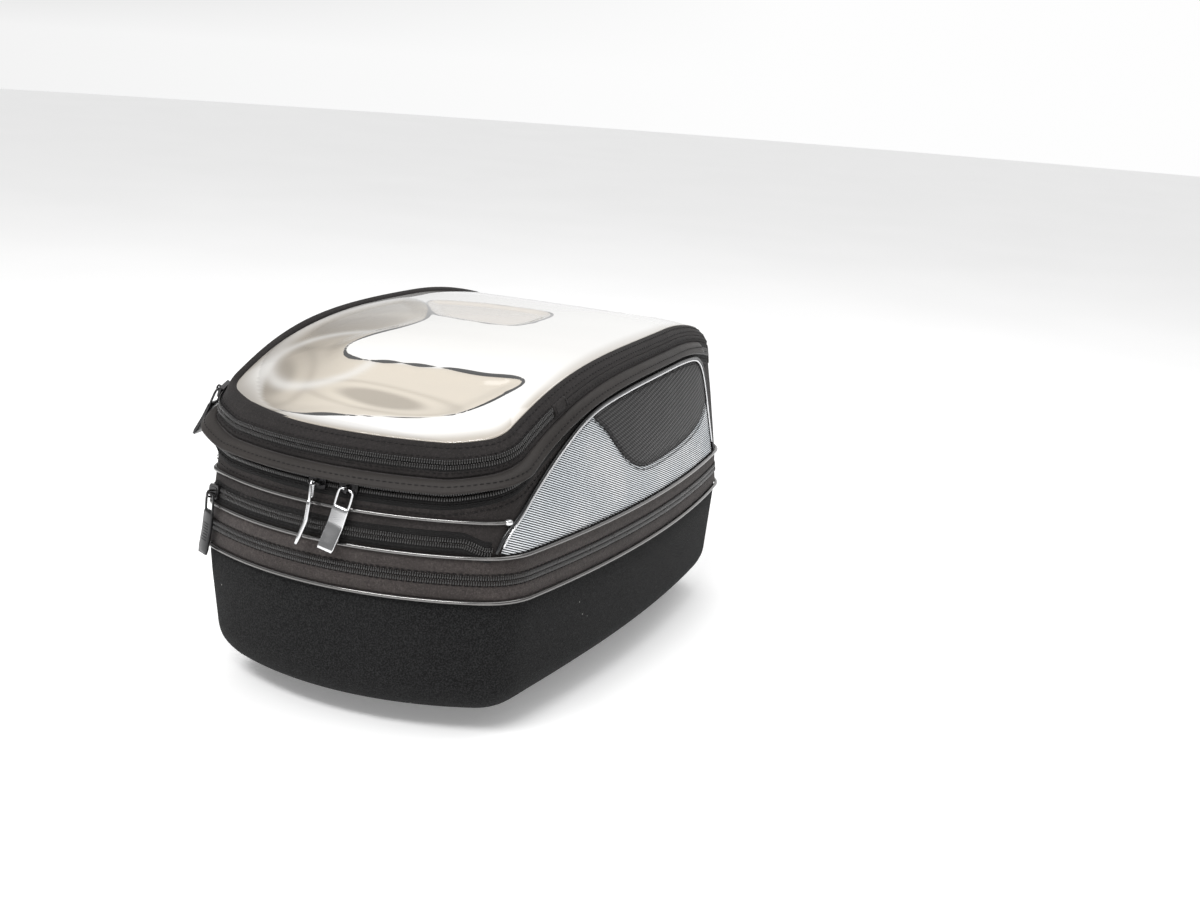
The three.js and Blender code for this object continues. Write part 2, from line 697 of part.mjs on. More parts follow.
// One half of the map pocket's zip coil, between two fractions of the border
function mapCoil(low, high) {
  const end = placeAtY(MAP_ZIP_END_Y, HEIGHT_LINE_INSET);
  return band(stepsBetween(-end, end), (t) => [
    borderPoint(t, low, GAP), borderPoint(t, high, GAP),
    borderPoint(t, high, COIL_OUT), borderPoint(t, low, COIL_OUT),
  ]);
}

// The fabric garage over the end of the map zip, on the right side
function mapZipTab() {
  const from = placeAtY(MAP_ZIP_END_Y + 2.4, HEIGHT_LINE_INSET);
  const to = placeAtY(MAP_ZIP_END_Y + 14, HEIGHT_LINE_INSET);
  return band([from, (from + to) / 2, to], (t) => [
    borderPoint(t, 0.2, GAP), borderPoint(t, 0.56, GAP), borderPoint(t, 0.5, 1.8), borderPoint(t, 0.25, 1.8),
  ]);
}

const WINDOW_THICKNESS = 1;
const WINDOW_DOME = 5;
const BOARD_DROP = 9;
const BOARD_DOME = 3;
const LID_BOARD_THICKNESS = 3.5;
const DOME_SCALES = [0.92, 0.7, 0.4];

const windowInset = (t) => wallInset(grooveLine(lineY(t))) + BORDER_INSET + BORDER_THICKNESS + GAP;
const domeHeight = (dome, drop) => (t, scale) => rimLine(lineY(t) * scale) - drop + dome * (1 - scale * scale);

// A domed plate under the rim line: its top face is drop below it
function domedPlate(inset, dome, drop, thickness) {
  const top = domeHeight(dome, drop);
  const bottom = (t, scale) => top(t, scale) - thickness;
  const ring = (scale, z) => ({ inset, scale, z });
  return rings([
    ring(0, bottom), ...[...DOME_SCALES].reverse().map((scale) => ring(scale, bottom)), ring(1, bottom),
    ring(1, top), ...DOME_SCALES.map((scale) => ring(scale, top)), ring(0, top),
  ]);
}

const lidBoard = () => domedPlate(windowInset, BOARD_DOME, BOARD_DROP, LID_BOARD_THICKNESS);

// The map window, kept in front of or behind the line where the map flap folds
function mapWindow(fromY, toY) {
  const sheet = toSolid(domedPlate(windowInset, WINDOW_DOME, 0, WINDOW_THICKNESS));
  return fromSolid(sheet.intersect(toSolid(boxBetween([-150, fromY, 100], [150, toY, 260]))));
}

// ---------- zip sliders ----------

const PLATE_INNER = COIL_OUT + 0.9;
const PLATE_THICKNESS = 1.6;
const PLATE_OUTER = PLATE_INNER + PLATE_THICKNESS;
const BRIDGE_HALF_WIDTH = 0.8;
const BAR_RADIUS = 0.7;

// The bridge over a slider's plate: how far out the pivot lies, its height, and the bridge's
// profile as [out of the plate, along the bridge] corners. The pull hangs by its bar from a bridge
// across the zip, or rides edge-on over a bridge along the zip.
const BRIDGE_ACROSS = {
  pivotOut: 1.5,
  pivotUp: -1.75,
  turn: 0,
  profile: [
    [-0.5, 0.8], [2.8, 0.8], [3.8, 0], [3.8, -3.5], [2.8, -4.3],
    [-0.5, -4.3], [-0.5, -3.1], [2.8, -3.1], [2.8, -0.4], [-0.5, -0.4],
  ],
};
const BRIDGE_ALONG = {
  pivotOut: 3.9,
  pivotUp: -1.4,
  turn: Math.PI / 2,
  profile: [
    [-0.5, 4.2], [3.8, 4.2], [4.6, 3.4], [4.6, -3.4], [3.8, -4.2],
    [-0.5, -4.2], [-0.5, -3], [3.2, -3], [3.2, 3], [-0.5, 3],
  ],
};

// A slider in its own frame: +X along the zip, +Y into the bag, +Z up, origin on the zip line
function sliderGeometry(bridge) {
  const face = new THREE.Shape([
    [-5.6, -2], [-4.4, -3.6], [1, -4.3], [5, -4.3], [5.8, -2.6],
    [5.8, 2.6], [5, 4.3], [1, 4.3], [-4.4, 3.6], [-5.6, 2],
  ].map(([x, z]) => new THREE.Vector2(x, z)));
  const plate = new THREE.ExtrudeGeometry(face, { depth: PLATE_THICKNESS, bevelEnabled: false })
    .rotateX(Math.PI / 2)
    .translate(0, -PLATE_INNER, 0);
  const side = new THREE.Shape(bridge.profile.map(([out, along]) => new THREE.Vector2(out, along)));
  const strip = new THREE.ExtrudeGeometry(side, { depth: 2 * BRIDGE_HALF_WIDTH, bevelEnabled: false });
  const facing = new THREE.Matrix4().makeBasis(
    new THREE.Vector3(0, -1, 0), new THREE.Vector3(0, 0, 1), new THREE.Vector3(-1, 0, 0),
  );
  strip.applyMatrix4(facing)
    .translate(BRIDGE_HALF_WIDTH, -PLATE_OUTER, 0)
    .rotateY(bridge.turn)
    .translate(0, 0, bridge.turn ? bridge.pivotUp : 0);
  return fromSolid(toSolid(plate).add(toSolid(strip)));
}

const RING_BAR = 1.9;
const EDGE_ON_UP = 1.9;
const EDGE_ON_IN = 1.5;

// A puller in its own frame: hangs down -Z from a pivot bar along X, its face to -Y
function pullerGeometry(length, width) {
  const half = width / 2;
  const loop = new THREE.Shape();
  loop.moveTo(-half, -11).lineTo(-half, -1).lineTo(1.6 - half, BAR_RADIUS);
  loop.lineTo(half - 1.6, BAR_RADIUS).lineTo(half, -1).lineTo(half, -11);
  loop.closePath();
  const hole = new THREE.Path();
  hole.moveTo(RING_BAR - half, -8.6).lineTo(half - RING_BAR, -8.6).lineTo(half - RING_BAR, -BAR_RADIUS);
  hole.lineTo(RING_BAR - half, -BAR_RADIUS);
  hole.closePath();
  loop.holes.push(hole);
  const thin = new THREE.ExtrudeGeometry(loop, { depth: 2 * BAR_RADIUS, bevelEnabled: false })
    .rotateX(Math.PI / 2)
    .translate(0, BAR_RADIUS, 0);
  const grip = new THREE.Shape([
    [-half, -10], [half, -10], [half + 0.4, 2 - length], [half - 1, 0.5 - length],
    [1 - half, 0.5 - length], [-half - 0.4, 2 - length],
  ].map(([x, z]) => new THREE.Vector2(x, z)));
  const thick = new THREE.ExtrudeGeometry(grip, { depth: 2.2, bevelEnabled: false })
    .rotateX(Math.PI / 2)
    .translate(0, 1.1, 0);
  return fromSolid(toSolid(thin).add(toSolid(thick)));
}

// ---------- assembly ----------

const FABRIC = { color: 0x1d1c1d, roughness: 0.92, metalness: 0 };
const MATERIALS = {
  shell: { color: 0x0f0f10, roughness: 0.97, metalness: 0 },
  fabric: FABRIC,
  flap: { color: 0x2b2827, roughness: 0.85, metalness: 0 },
  silver: { color: 0x8d969e, roughness: 0.5, metalness: 0.2 },
  insert: { color: 0x232324, roughness: 0.8, metalness: 0 },
  piping: { color: 0x6b6b6e, roughness: 0.25, metalness: 0.2 },
  coil: { color: 0x161617, roughness: 0.4, metalness: 0 },
  slider: { color: 0x18181a, roughness: 0.3, metalness: 0.8 },
  chrome: { color: 0xb9bbc0, roughness: 0.15, metalness: 1 },
  plastic: { color: 0x1a1a1b, roughness: 0.5, metalness: 0 },
  release: { color: 0x8c1f1a, roughness: 0.5, metalness: 0 },
  steel: { color: 0x9a9b9e, roughness: 0.3, metalness: 1 },
  window: { color: 0xe6e2da, roughness: 0.08, metalness: 0, transparent: true, opacity: 0.4 },
};

const bag = new THREE.Group();

function addTo(parent, name, geometry, material) {
  const mesh = new THREE.Mesh(closedGeometry(geometry), new THREE.MeshStandardMaterial(MATERIALS[material]));
  mesh.name = name;
  parent.add(mesh);
  return mesh;
}

// The same piece on the left side
function mirroredX(geometry) {
  return closedGeometry(geometry).scale(-1, 1, 1);
}

// Base
addTo(bag, 'base_tray', baseTray(), 'shell');
addTo(bag, 'base_board', baseBoard(), 'plastic');
addTo(bag, 'adapter_plate', adapterPlate(), 'plastic');
addTo(bag, 'lock_ring', lockRing(), 'plastic');
screwSpots.forEach((spot, i) => addTo(bag, `adapter_screw_${i + 1}`, adapterScrew(spot), 'steel'));
addTo(bag, 'latch_bolt', latchBolt(), 'plastic');
addTo(bag, 'latch_release_tab', releaseTab(), 'release');
addTo(bag, 'latch_spring', latchSpring(), 'steel');
addTo(bag, 'piping_base', piping(LOOP, () => [0, BASE_SEAM_Z]), 'piping');
const lowerBandTop = EXPANSION_ZIP_Z - GAP;
const upperBandLow = EXPANSION_ZIP_Z + GAP;
addTo(bag, 'base_band', band(LOOP, wallBand(BASE_SEAM_Z + GAP, lowerBandTop, BAND_THICKNESS)), 'fabric');
addTo(bag, 'expansion_coil_lower', band(LOOP, () => coilHalf(lowerBandTop - COIL_HEIGHT, lowerBandTop)), 'coil');

// Upper body
addTo(bag, 'expansion_coil_upper', band(LOOP, () => coilHalf(upperBandLow, upperBandLow + COIL_HEIGHT)), 'coil');
addTo(bag, 'waist_band', band(LOOP, wallBand(upperBandLow, WAIST_SEAM_Z - 0.8, BAND_THICKNESS)), 'fabric');
addTo(bag, 'expansion_gusset', band(LOOP, () => [
  [SLEEVE_INSET, SLEEVE_BOTTOM_Z], [SLEEVE_INSET, SLEEVE_TOP_Z],
  [SLEEVE_INSET + SLEEVE_THICKNESS, SLEEVE_TOP_Z], [SLEEVE_INSET + SLEEVE_THICKNESS, SLEEVE_BOTTOM_Z],
]), 'fabric');
const pipingInset = (z) => wallInset(z) - PIPING_RADIUS - GAP;
addTo(bag, 'piping_waist', piping(LOOP, () => [pipingInset(WAIST_SEAM_Z), WAIST_SEAM_Z]), 'piping');
addTo(bag, 'upper_wall', upperWall(), 'fabric');
const pocketEnd = rearArcPlace(30);
const rearPipingEnd = placeAtY(-153.5, 5);
const rearPiping = piping(stepsBetween(-rearPipingEnd, rearPipingEnd), () => [pipingInset(REAR_PIPING_Z), REAR_PIPING_Z]);
addTo(bag, 'piping_rear', rearPiping, 'piping');
const pocketPlaces = stepsBetween(-pocketEnd, pocketEnd);
// The pocket zip dips to the waist seam at its two ends
const pocketDip = (t) => POCKET_DIP * THREE.MathUtils.smoothstep(Math.abs(t), rearArcPlace(POCKET_DIP_ANGLE), pocketEnd);
const pocketCoil = (lowZ) => band(pocketPlaces, (t) => {
  const low = lowZ - pocketDip(t);
  return coilHalf(low, low + COIL_HEIGHT);
});
addTo(bag, 'pocket_coil_lower', pocketCoil(POCKET_ZIP_Z - COIL_HEIGHT - GAP), 'coil');
addTo(bag, 'pocket_coil_upper', pocketCoil(POCKET_ZIP_Z + GAP), 'coil');
addTo(bag, 'pocket_lining', band(pocketPlaces, () => [
  [13, WAIST_SEAM_Z + 2], [15.5, REAR_PIPING_Z + 4], [16.3, REAR_PIPING_Z + 4], [13.8, WAIST_SEAM_Z + 2],
]), 'fabric');

const sideParts = [
  ['side_piping', sidePiping(), 'piping'],
  ['side_panel', sidePanel(), 'silver'],
  ['side_insert', sideInsert(), 'insert'],
];
for (const [name, geometry, material] of sideParts) {
  addTo(bag, `${name}_right`, geometry, material);
  addTo(bag, `${name}_left`, mirroredX(geometry), material);
}

const zipEnd = placeAtY(MAIN_ZIP_END_Y, HEIGHT_LINE_INSET);
const mainPlaces = stepsBetween(-zipEnd, zipEnd);
addTo(bag, 'main_coil_lower', band(mainPlaces, (t) => {
  const high = lidLine(lineY(t)) - GAP;
  return coilHalf(high - COIL_HEIGHT, high);
}), 'coil');
const handle = addTo(bag, 'carry_handle', carryHandle(), 'fabric');
const handleInset = wallInset(HANDLE_Z - HANDLE_HEIGHT / 2) - GAP;
handle.position.set(0, FRONT_Y - handleInset, HANDLE_Z - HANDLE_HEIGHT / 2);
handle.rotation.x = Math.atan(WALL_LEAN);

// Lid
addTo(bag, 'lid_skirt', lidSkirt(), 'fabric');
addTo(bag, 'main_coil_upper', band(mainPlaces, (t) => {
  const low = lidLine(lineY(t)) + GAP;
  return coilHalf(low, low + COIL_HEIGHT);
}), 'coil');
addTo(bag, 'rain_flap', rainFlap(), 'flap');
addTo(bag, 'lid_border', lidBorder(), 'fabric');
addTo(bag, 'lid_board', lidBoard(), 'shell');
addTo(bag, 'map_coil_lower', mapCoil(MAP_ZIP_FRACTION - 0.11, MAP_ZIP_FRACTION - 0.015), 'coil');
addTo(bag, 'map_zip_tab_right', mapZipTab(), 'fabric');
addTo(bag, 'map_zip_tab_left', mirroredX(mapZipTab()), 'fabric');
addTo(bag, 'map_window_front', mapWindow(MAP_SPLIT_Y + GAP, FRONT_Y), 'window');

// Map pocket flap
addTo(bag, 'map_flap_border', mapFlapBorder(), 'fabric');
addTo(bag, 'map_coil_upper', mapCoil(MAP_ZIP_FRACTION + 0.015, MAP_ZIP_FRACTION + 0.11), 'coil');
addTo(bag, 'map_window_rear', mapWindow(-REAR_RADIUS, MAP_SPLIT_Y - GAP), 'window');

// Zip sliders and pullers on the rear arc and the front arc
function addSlider(name, place, puller) {
  const group = new THREE.Group();
  group.position.copy(place.position);
  group.quaternion.copy(place.quaternion);
  bag.add(group);
  const bridge = puller.edgeOn ? BRIDGE_ALONG : BRIDGE_ACROSS;
  addTo(group, `${name}_slider`, sliderGeometry(bridge), 'slider');
  group.updateMatrixWorld(true);
  const pivot = group.localToWorld(new THREE.Vector3(0, -PLATE_OUTER - bridge.pivotOut, bridge.pivotUp));
  const hang = new THREE.Group();
  hang.name = `${name}_pivot`;
  hang.position.copy(pivot);
  hang.rotation.order = 'ZXY';
  hang.rotation.z = place.turn;
  hang.rotation.x = -radians(puller.tilt);
  hang.rotation.y = radians(puller.sideways);
  bag.add(hang);
  const geometry = pullerGeometry(puller.length, puller.width);
  if (puller.edgeOn) {
    geometry.translate(puller.width / 2 - RING_BAR - EDGE_ON_IN, 0, EDGE_ON_UP);
    geometry.rotateZ(-radians(puller.edgeOn));
  }
  addTo(hang, `${name}_puller`, geometry, puller.material);
}

// A place on an arc about a vertical axis, its frame leaning with the wall
function arcPlace(centreY, radius, turn, z, lean) {
  const position = new THREE.Vector3(Math.sin(turn), -Math.cos(turn), 0).multiplyScalar(radius);
  position.y += centreY;
  position.z = z;
  const quaternion = new THREE.Quaternion().setFromEuler(new THREE.Euler(-lean, 0, turn, 'ZXY'));
  return { position, quaternion, turn };
}

const upperLean = Math.atan(WALL_LEAN);
const bandLean = Math.atan((WAIST_INSET - BASE_INSET) / (WAIST_SEAM_Z - BASE_SEAM_Z));
const onRear = (degrees, z, lean) => arcPlace(0, REAR_RADIUS - wallInset(z), radians(degrees), z, lean);

addSlider('main_right', onRear(MAIN_RIGHT_ANGLE, LID_REAR_Z, upperLean),
  { length: 37, width: 10, tilt: 6.8, sideways: 13, material: 'chrome' });
addSlider('main_left', onRear(MAIN_LEFT_ANGLE, LID_REAR_Z, upperLean),
  { length: 37, width: 10, tilt: 8.5, sideways: 0, edgeOn: 66, material: 'chrome' });
addSlider('pocket', onRear(POCKET_ANGLE, POCKET_ZIP_Z, upperLean),
  { length: 37, width: 10, tilt: 3.5, sideways: 0, material: 'slider' });
addSlider('expansion',
  arcPlace(FRONT_CENTRE.y, FRONT_RADIUS - wallInset(EXPANSION_ZIP_Z), Math.PI + radians(EXPANSION_ANGLE), EXPANSION_ZIP_Z, bandLean),
  { length: 30, width: 9, tilt: 4, sideways: 0, material: 'slider' });

// The map slider runs on the sloping zip of the left side
function mapSliderPlace() {
  const t = -placeAtY(MAP_SLIDER_Y, HEIGHT_LINE_INSET);
  const at = (place, fraction) => pointOn(place, ...borderPoint(place, fraction));
  const position = at(t, MAP_ZIP_FRACTION);
  const ahead = -placeAtY(MAP_SLIDER_Y + MAP_SLIDER_TRAVEL, HEIGHT_LINE_INSET);
  const backward = position.clone().sub(at(ahead, MAP_ZIP_FRACTION)).normalize();
  const up = at(t, MAP_ZIP_FRACTION + 0.1).sub(at(t, MAP_ZIP_FRACTION - 0.1));
  const inward = up.clone().cross(backward).normalize();
  const frame = new THREE.Matrix4().makeBasis(backward, inward, backward.clone().cross(inward));
  const { normal } = outlinePlace(t);
  return {
    position,
    quaternion: new THREE.Quaternion().setFromRotationMatrix(frame),
    turn: Math.atan2(normal.x, -normal.y),
  };
}

addSlider('map', mapSliderPlace(), { length: 34, width: 10, tilt: 24, sideways: 0, material: 'slider' });

export default bag;
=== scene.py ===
"""Tank bag scene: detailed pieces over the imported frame, with studio light and camera.

Distances in this file are millimetres until mesh_from() turns them into metres.
+X is the rider's right, +Y points to the front of the motorcycle and +Z is up.
t runs round the bag: 0 is the middle of the rear, 1 the middle of the front, and the left is negative.
A place is (inset, z): how far inside the plan outline it lies, and its height.
"""
import math
import bmesh
import bpy
import numpy as np
from mathutils import Matrix, Vector, noise


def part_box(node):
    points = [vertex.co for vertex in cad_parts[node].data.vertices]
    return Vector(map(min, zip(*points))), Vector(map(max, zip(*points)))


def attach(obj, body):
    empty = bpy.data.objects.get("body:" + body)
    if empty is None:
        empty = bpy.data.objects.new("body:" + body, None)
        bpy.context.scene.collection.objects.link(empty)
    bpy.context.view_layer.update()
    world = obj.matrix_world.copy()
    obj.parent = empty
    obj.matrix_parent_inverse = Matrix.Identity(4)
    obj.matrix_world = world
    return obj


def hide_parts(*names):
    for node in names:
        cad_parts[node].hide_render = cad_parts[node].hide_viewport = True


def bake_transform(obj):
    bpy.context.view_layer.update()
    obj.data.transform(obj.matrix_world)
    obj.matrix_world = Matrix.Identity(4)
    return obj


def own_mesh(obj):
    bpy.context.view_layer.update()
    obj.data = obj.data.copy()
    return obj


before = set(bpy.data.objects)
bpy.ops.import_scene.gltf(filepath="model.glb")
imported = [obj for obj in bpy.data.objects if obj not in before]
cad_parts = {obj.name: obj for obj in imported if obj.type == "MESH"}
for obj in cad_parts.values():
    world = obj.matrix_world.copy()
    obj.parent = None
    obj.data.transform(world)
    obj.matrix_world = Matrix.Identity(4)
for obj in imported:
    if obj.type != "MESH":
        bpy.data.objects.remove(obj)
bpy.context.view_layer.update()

MM = 0.001

# ---------------------------------------------------------------- plan outline

HALF_WIDTH = 126
SIDE_RADIUS = 950
SIDE_MIDDLE_Y = 5.5
REAR_RADIUS = 193.3
FRONT_Y = 191.6
FRONT_RADIUS = 500
CORNER_RADIUS = 38
HEIGHT_LINE_INSET = 18

TRAY_BOTTOM_Z = 13.5
TRAY_TOP_Z = 85.2
BASE_SEAM_Z = 85.6
EXPANSION_ZIP_Z = 98
WAIST_SEAM_Z = 111
POCKET_ZIP_Z = 118.5
REAR_PIPING_Z = 130.6
LID_REAR_Z = 143.3
RIM_REAR_Z = 171.4
RISE_START_Y = -161.7
BASE_INSET = 1.5
WAIST_INSET = 3.6
WALL_LEAN = 0.16
BORDER_INSET = 9.3
MAP_ZIP_FRACTION = 0.39
MAP_ZIP_END_Y = -106
FLAP_END_Y = 125
MAIN_ZIP_END_Y = 150
RISE_LENGTH = 66
RISE_POWER = 1.3
LID_RISE = 50
RIM_RISE = 39
DROOP_START_Y = 68
DROOP_LENGTH = 90
DROOP_DEPTH = 12
GROOVE_ABOVE_LID = 9.6
GROOVE_SINK = 3.2
BORDER_BULGE = 1.8


def lerp(a, b, t):
    return a + (b - a) * t


def smooth(x, low=0.0, high=1.0):
    t = min(1.0, max(0.0, (x - low) / (high - low)))
    return t * t * (3 - 2 * t)


def fillet_centre(end_y, end_radius, sign):
    """Centre of the corner arc that joins an end arc to the side arc."""
    side = Vector((HALF_WIDTH - SIDE_RADIUS, SIDE_MIDDLE_Y))
    end = Vector((0, end_y))
    r1 = end_radius - CORNER_RADIUS
    r2 = SIDE_RADIUS - CORNER_RADIUS
    between = side - end
    length = between.length
    along = (r1 * r1 - r2 * r2 + length * length) / (2 * length)
    across = math.sqrt(r1 * r1 - along * along)
    direction = between.normalized()
    normal = Vector((-direction.y, direction.x))
    for s in (1, -1):
        point = end + direction * along + normal * s * across
        if point.x > 0 and point.y * sign > 0:
            return point
    raise ValueError("no corner")


def angle_of(centre, point):
    return math.atan2(point[1] - centre[1], point[0] - centre[0])


FRONT_CENTRE_Y = FRONT_Y - FRONT_RADIUS
REAR_CORNER = fillet_centre(0, REAR_RADIUS, -1)
FRONT_CORNER = fillet_centre(FRONT_CENTRE_Y, FRONT_RADIUS, 1)
SIDE_CENTRE = (HALF_WIDTH - SIDE_RADIUS, SIDE_MIDDLE_Y)
REAR_END = angle_of((0, 0), REAR_CORNER)
SIDE_START = angle_of(SIDE_CENTRE, REAR_CORNER)
SIDE_END = angle_of(SIDE_CENTRE, FRONT_CORNER)
FRONT_START = angle_of((0, FRONT_CENTRE_Y), FRONT_CORNER)
ARCS = [
    ((0, 0), REAR_RADIUS, -math.pi / 2, REAR_END),
    (tuple(REAR_CORNER), CORNER_RADIUS, REAR_END, SIDE_START),
    (SIDE_CENTRE, SIDE_RADIUS, SIDE_START, SIDE_END),
    (tuple(FRONT_CORNER), CORNER_RADIUS, SIDE_END, FRONT_START),
    ((0, FRONT_CENTRE_Y), FRONT_RADIUS, FRONT_START, math.pi / 2),
]
ARC_LENGTHS = [radius * (end - start) for _, radius, start, end in ARCS]
HALF_LENGTH = sum(ARC_LENGTHS)


def outline(t):
    """Arc centre, radius and outward normal at t: 0 rear middle, 1 front middle, negative on the left."""
    turn = t % 2
    mirrored = turn > 1
    distance = (2 - turn if mirrored else turn) * HALF_LENGTH
    for (centre, radius, start, _), length in zip(ARCS, ARC_LENGTHS):
        if distance <= length + 1e-9:
            break
        distance -= length
    angle = start + distance / radius
    sign = -1 if mirrored else 1
    return sign * centre[0], centre[1], radius, sign * math.cos(angle), math.sin(angle)


def point_at(t, inset, z):
    cx, cy, radius, nx, ny = outline(t)
    return Vector((cx + nx * (radius - inset), cy + ny * (radius - inset), z))


def squeezed(point):
    """The left rear corner of the base and body is narrower than the right one, most of all low down.

    The narrowing starts 62 to 84 mm left of the middle, grows to the rear and ends at the main zip.
    """
    rearward = smooth(-point.y, -160, 130)
    wall = smooth(-point.x, 84, 112) * rearward * (1 - smooth(point.z, 136, 145))
    foot = smooth(-point.x, 62, 112) * rearward * (1 - smooth(point.z, 16, 84))
    return Vector((point.x + 12 * wall + 7 * foot, point.y + 7 * wall + 2 * foot, point.z))


def wall_point(t, place, narrow=True):
    """The point at t for an (inset, z) place; pieces that aren't narrow keep the left corner full."""
    point = point_at(t, *place)
    return squeezed(point) if narrow else point


def place_at_y(y, inset):
    low, high = 0.0, 1.0
    for _ in range(30):
        middle = (low + high) / 2
        if point_at(middle, inset, 0).y < y:
            low = middle
        else:
            high = middle
    return (low + high) / 2


def rear_place(degrees):
    return math.radians(degrees) * REAR_RADIUS / HALF_LENGTH


def line_y(t):
    return point_at(t, HEIGHT_LINE_INSET, 0).y


def rise(y):
    """How far the lid has climbed from its rear edge, from 0 to 1."""
    return 1 - math.exp(-((max(0.0, y - RISE_START_Y) / RISE_LENGTH) ** RISE_POWER))


def droop(y):
    """How far the lid falls again towards its front."""
    return DROOP_DEPTH * (max(0.0, y - DROOP_START_Y) / DROOP_LENGTH) ** 2


def lid_line(y):
    return LID_REAR_Z + LID_RISE * rise(y) - droop(y)


def groove_line(y):
    return lid_line(y) + GROOVE_ABOVE_LID - GROOVE_SINK * rise(y)


def rim_line(y):
    return RIM_REAR_Z + RIM_RISE * rise(y) - droop(y)


def wall_inset(z):
    if z >= WAIST_SEAM_Z:
        return WAIST_INSET + WALL_LEAN * (z - WAIST_SEAM_Z)
    return lerp(BASE_INSET, WAIST_INSET, (z - BASE_SEAM_Z) / (WAIST_SEAM_Z - BASE_SEAM_Z))


def border_point(t, fraction, out=0.0):
    """A place on the lid's border, from the groove at 0 to the window rim at 1."""
    y = line_y(t)
    bulge = 4 * BORDER_BULGE * fraction * (1 - fraction)
    inset = wall_inset(groove_line(y)) + BORDER_INSET * fraction - bulge - out
    return inset, lerp(groove_line(y) + 0.3, rim_line(y), fraction)


def spread(start, end, count):
    return [lerp(start, end, i / count) for i in range(count + 1)]


ALL_ROUND = (0, 2)
LOOP = spread(*ALL_ROUND, 220)[:-1]


# ---------------------------------------------------------------- mesh building

def link(obj):
    bpy.context.scene.collection.objects.link(obj)
    return obj


def mesh_from(name, points, faces, material, uvs=None, smooth_faces=True):
    """An object from points in millimetres; uvs gives one (u, v) per corner, in metres."""
    mesh = bpy.data.meshes.new(name)
    mesh.from_pydata([tuple(p[i] * MM for i in range(3)) for p in points], [], faces)
    if uvs:
        layer = mesh.uv_layers.new(name="UVMap")
        for corner, uv in zip(layer.data, uvs):
            corner.uv = uv
    for polygon in mesh.polygons:
        polygon.use_smooth = smooth_faces
    mesh.materials.append(material)
    mesh.validate()
    mesh.update()
    return link(bpy.data.objects.new(name, mesh))


def running(points, closed=False):
    total = [0.0]
    pairs = list(zip(points, points[1:] + ([points[0]] if closed else [])))
    for a, b in pairs:
        total.append(total[-1] + (Vector(b) - Vector(a)).length)
    return total


def grid(name, rows, material, loop_rows=False, loop_columns=False, caps=False):
    """A surface through rows of points. loop_rows joins the last row to the first."""
    count, width = len(rows), len(rows[0])
    points = [p for row in rows for p in row]
    widest = max(range(width), key=lambda k: running([row[k] for row in rows])[-1])
    u = running([row[widest] for row in rows], loop_rows)
    v = running(rows[0], loop_columns)
    faces, uvs = [], []
    for i in range(count if loop_rows else count - 1):
        for k in range(width if loop_columns else width - 1):
            j, m = (i + 1) % count, (k + 1) % width
            faces.append((i * width + k, j * width + k, j * width + m, i * width + m))
            uvs += [(u[i] * MM, v[k] * MM), (u[i + 1] * MM, v[k] * MM),
                    (u[i + 1] * MM, v[k + 1] * MM), (u[i] * MM, v[k + 1] * MM)]
    if caps:
        for row, order in ((0, range(width)), (count - 1, reversed(range(width)))):
            corner = [row * width + k for k in order]
            faces.append(tuple(corner))
            uvs += [(points[c][0] * MM, points[c][2] * MM) for c in corner]
    obj = mesh_from(name, points, faces, material, uvs)
    outward(obj)
    return obj


def outward(obj):
    """Turn a closed surface's faces outwards."""
    mesh = obj.data
    volume = 0.0
    for polygon in mesh.polygons:
        a = mesh.vertices[polygon.vertices[0]].co
        for i in range(1, len(polygon.vertices) - 1):
            b = mesh.vertices[polygon.vertices[i]].co
            c = mesh.vertices[polygon.vertices[i + 1]].co
            volume += a.dot(b.cross(c))
    if volume < 0:
        mesh.flip_normals()


def thickened(obj, thickness):
    """Give a sheet its thickness, in millimetres, below its face."""
    solid = obj.modifiers.new("thickness", "SOLIDIFY")
    solid.thickness = thickness * MM
    solid.offset = -1
    return obj


def band(name, places, section, material, narrow=True):
    """A body that follows the outline; section(t) lists its closed (inset, z) corners."""
    rows = [[wall_point(t, corner, narrow) for corner in section(t)] for t in places]
    closed = places is LOOP
    return grid(name, rows, material, loop_rows=closed, loop_columns=True, caps=not closed)


def rounded(width, height, radius, steps=3):
    """A closed rectangle with round corners, in its own plane."""
    points = []
    for cx, cy, start in ((1, 1, 0), (-1, 1, 90), (-1, -1, 180), (1, -1, 270)):
        for i in range(steps + 1):
            a = math.radians(start + 90 * i / steps)
            points.append((
                cx * (width / 2 - radius) + radius * math.cos(a),
                cy * (height / 2 - radius) + radius * math.sin(a),
            ))
    return points


def sweep(name, path, section, material, outs, closed=False):
    """A section swept along a path. outs gives the section's y direction, at each point or for all."""
    rows = []
    for i, point in enumerate(path):
        before = path[i - 1] if i or closed else path[0]
        after = path[(i + 1) % len(path)] if closed or i < len(path) - 1 else path[-1]
        along = (after - before).normalized()
        out = outs[i] if isinstance(outs, list) else outs
        out = (out - along * out.dot(along)).normalized()
        side = along.cross(out)
        rows.append([point + side * a + out * b for a, b in section])
    return grid(name, rows, material, loop_rows=closed, loop_columns=True, caps=not closed)


def circle(radius, sides=10):
    return [(radius * math.cos(2 * math.pi * i / sides), radius * math.sin(2 * math.pi * i / sides))
            for i in range(sides)]


def joined(name, objects):
    """Several objects as one, keeping their materials."""
    target = objects[0]
    with bpy.context.temp_override(
            active_object=target, object=target, selected_objects=objects,
            selected_editable_objects=objects):
        bpy.ops.object.join()
    target.name = name
    target.data.name = name
    return target


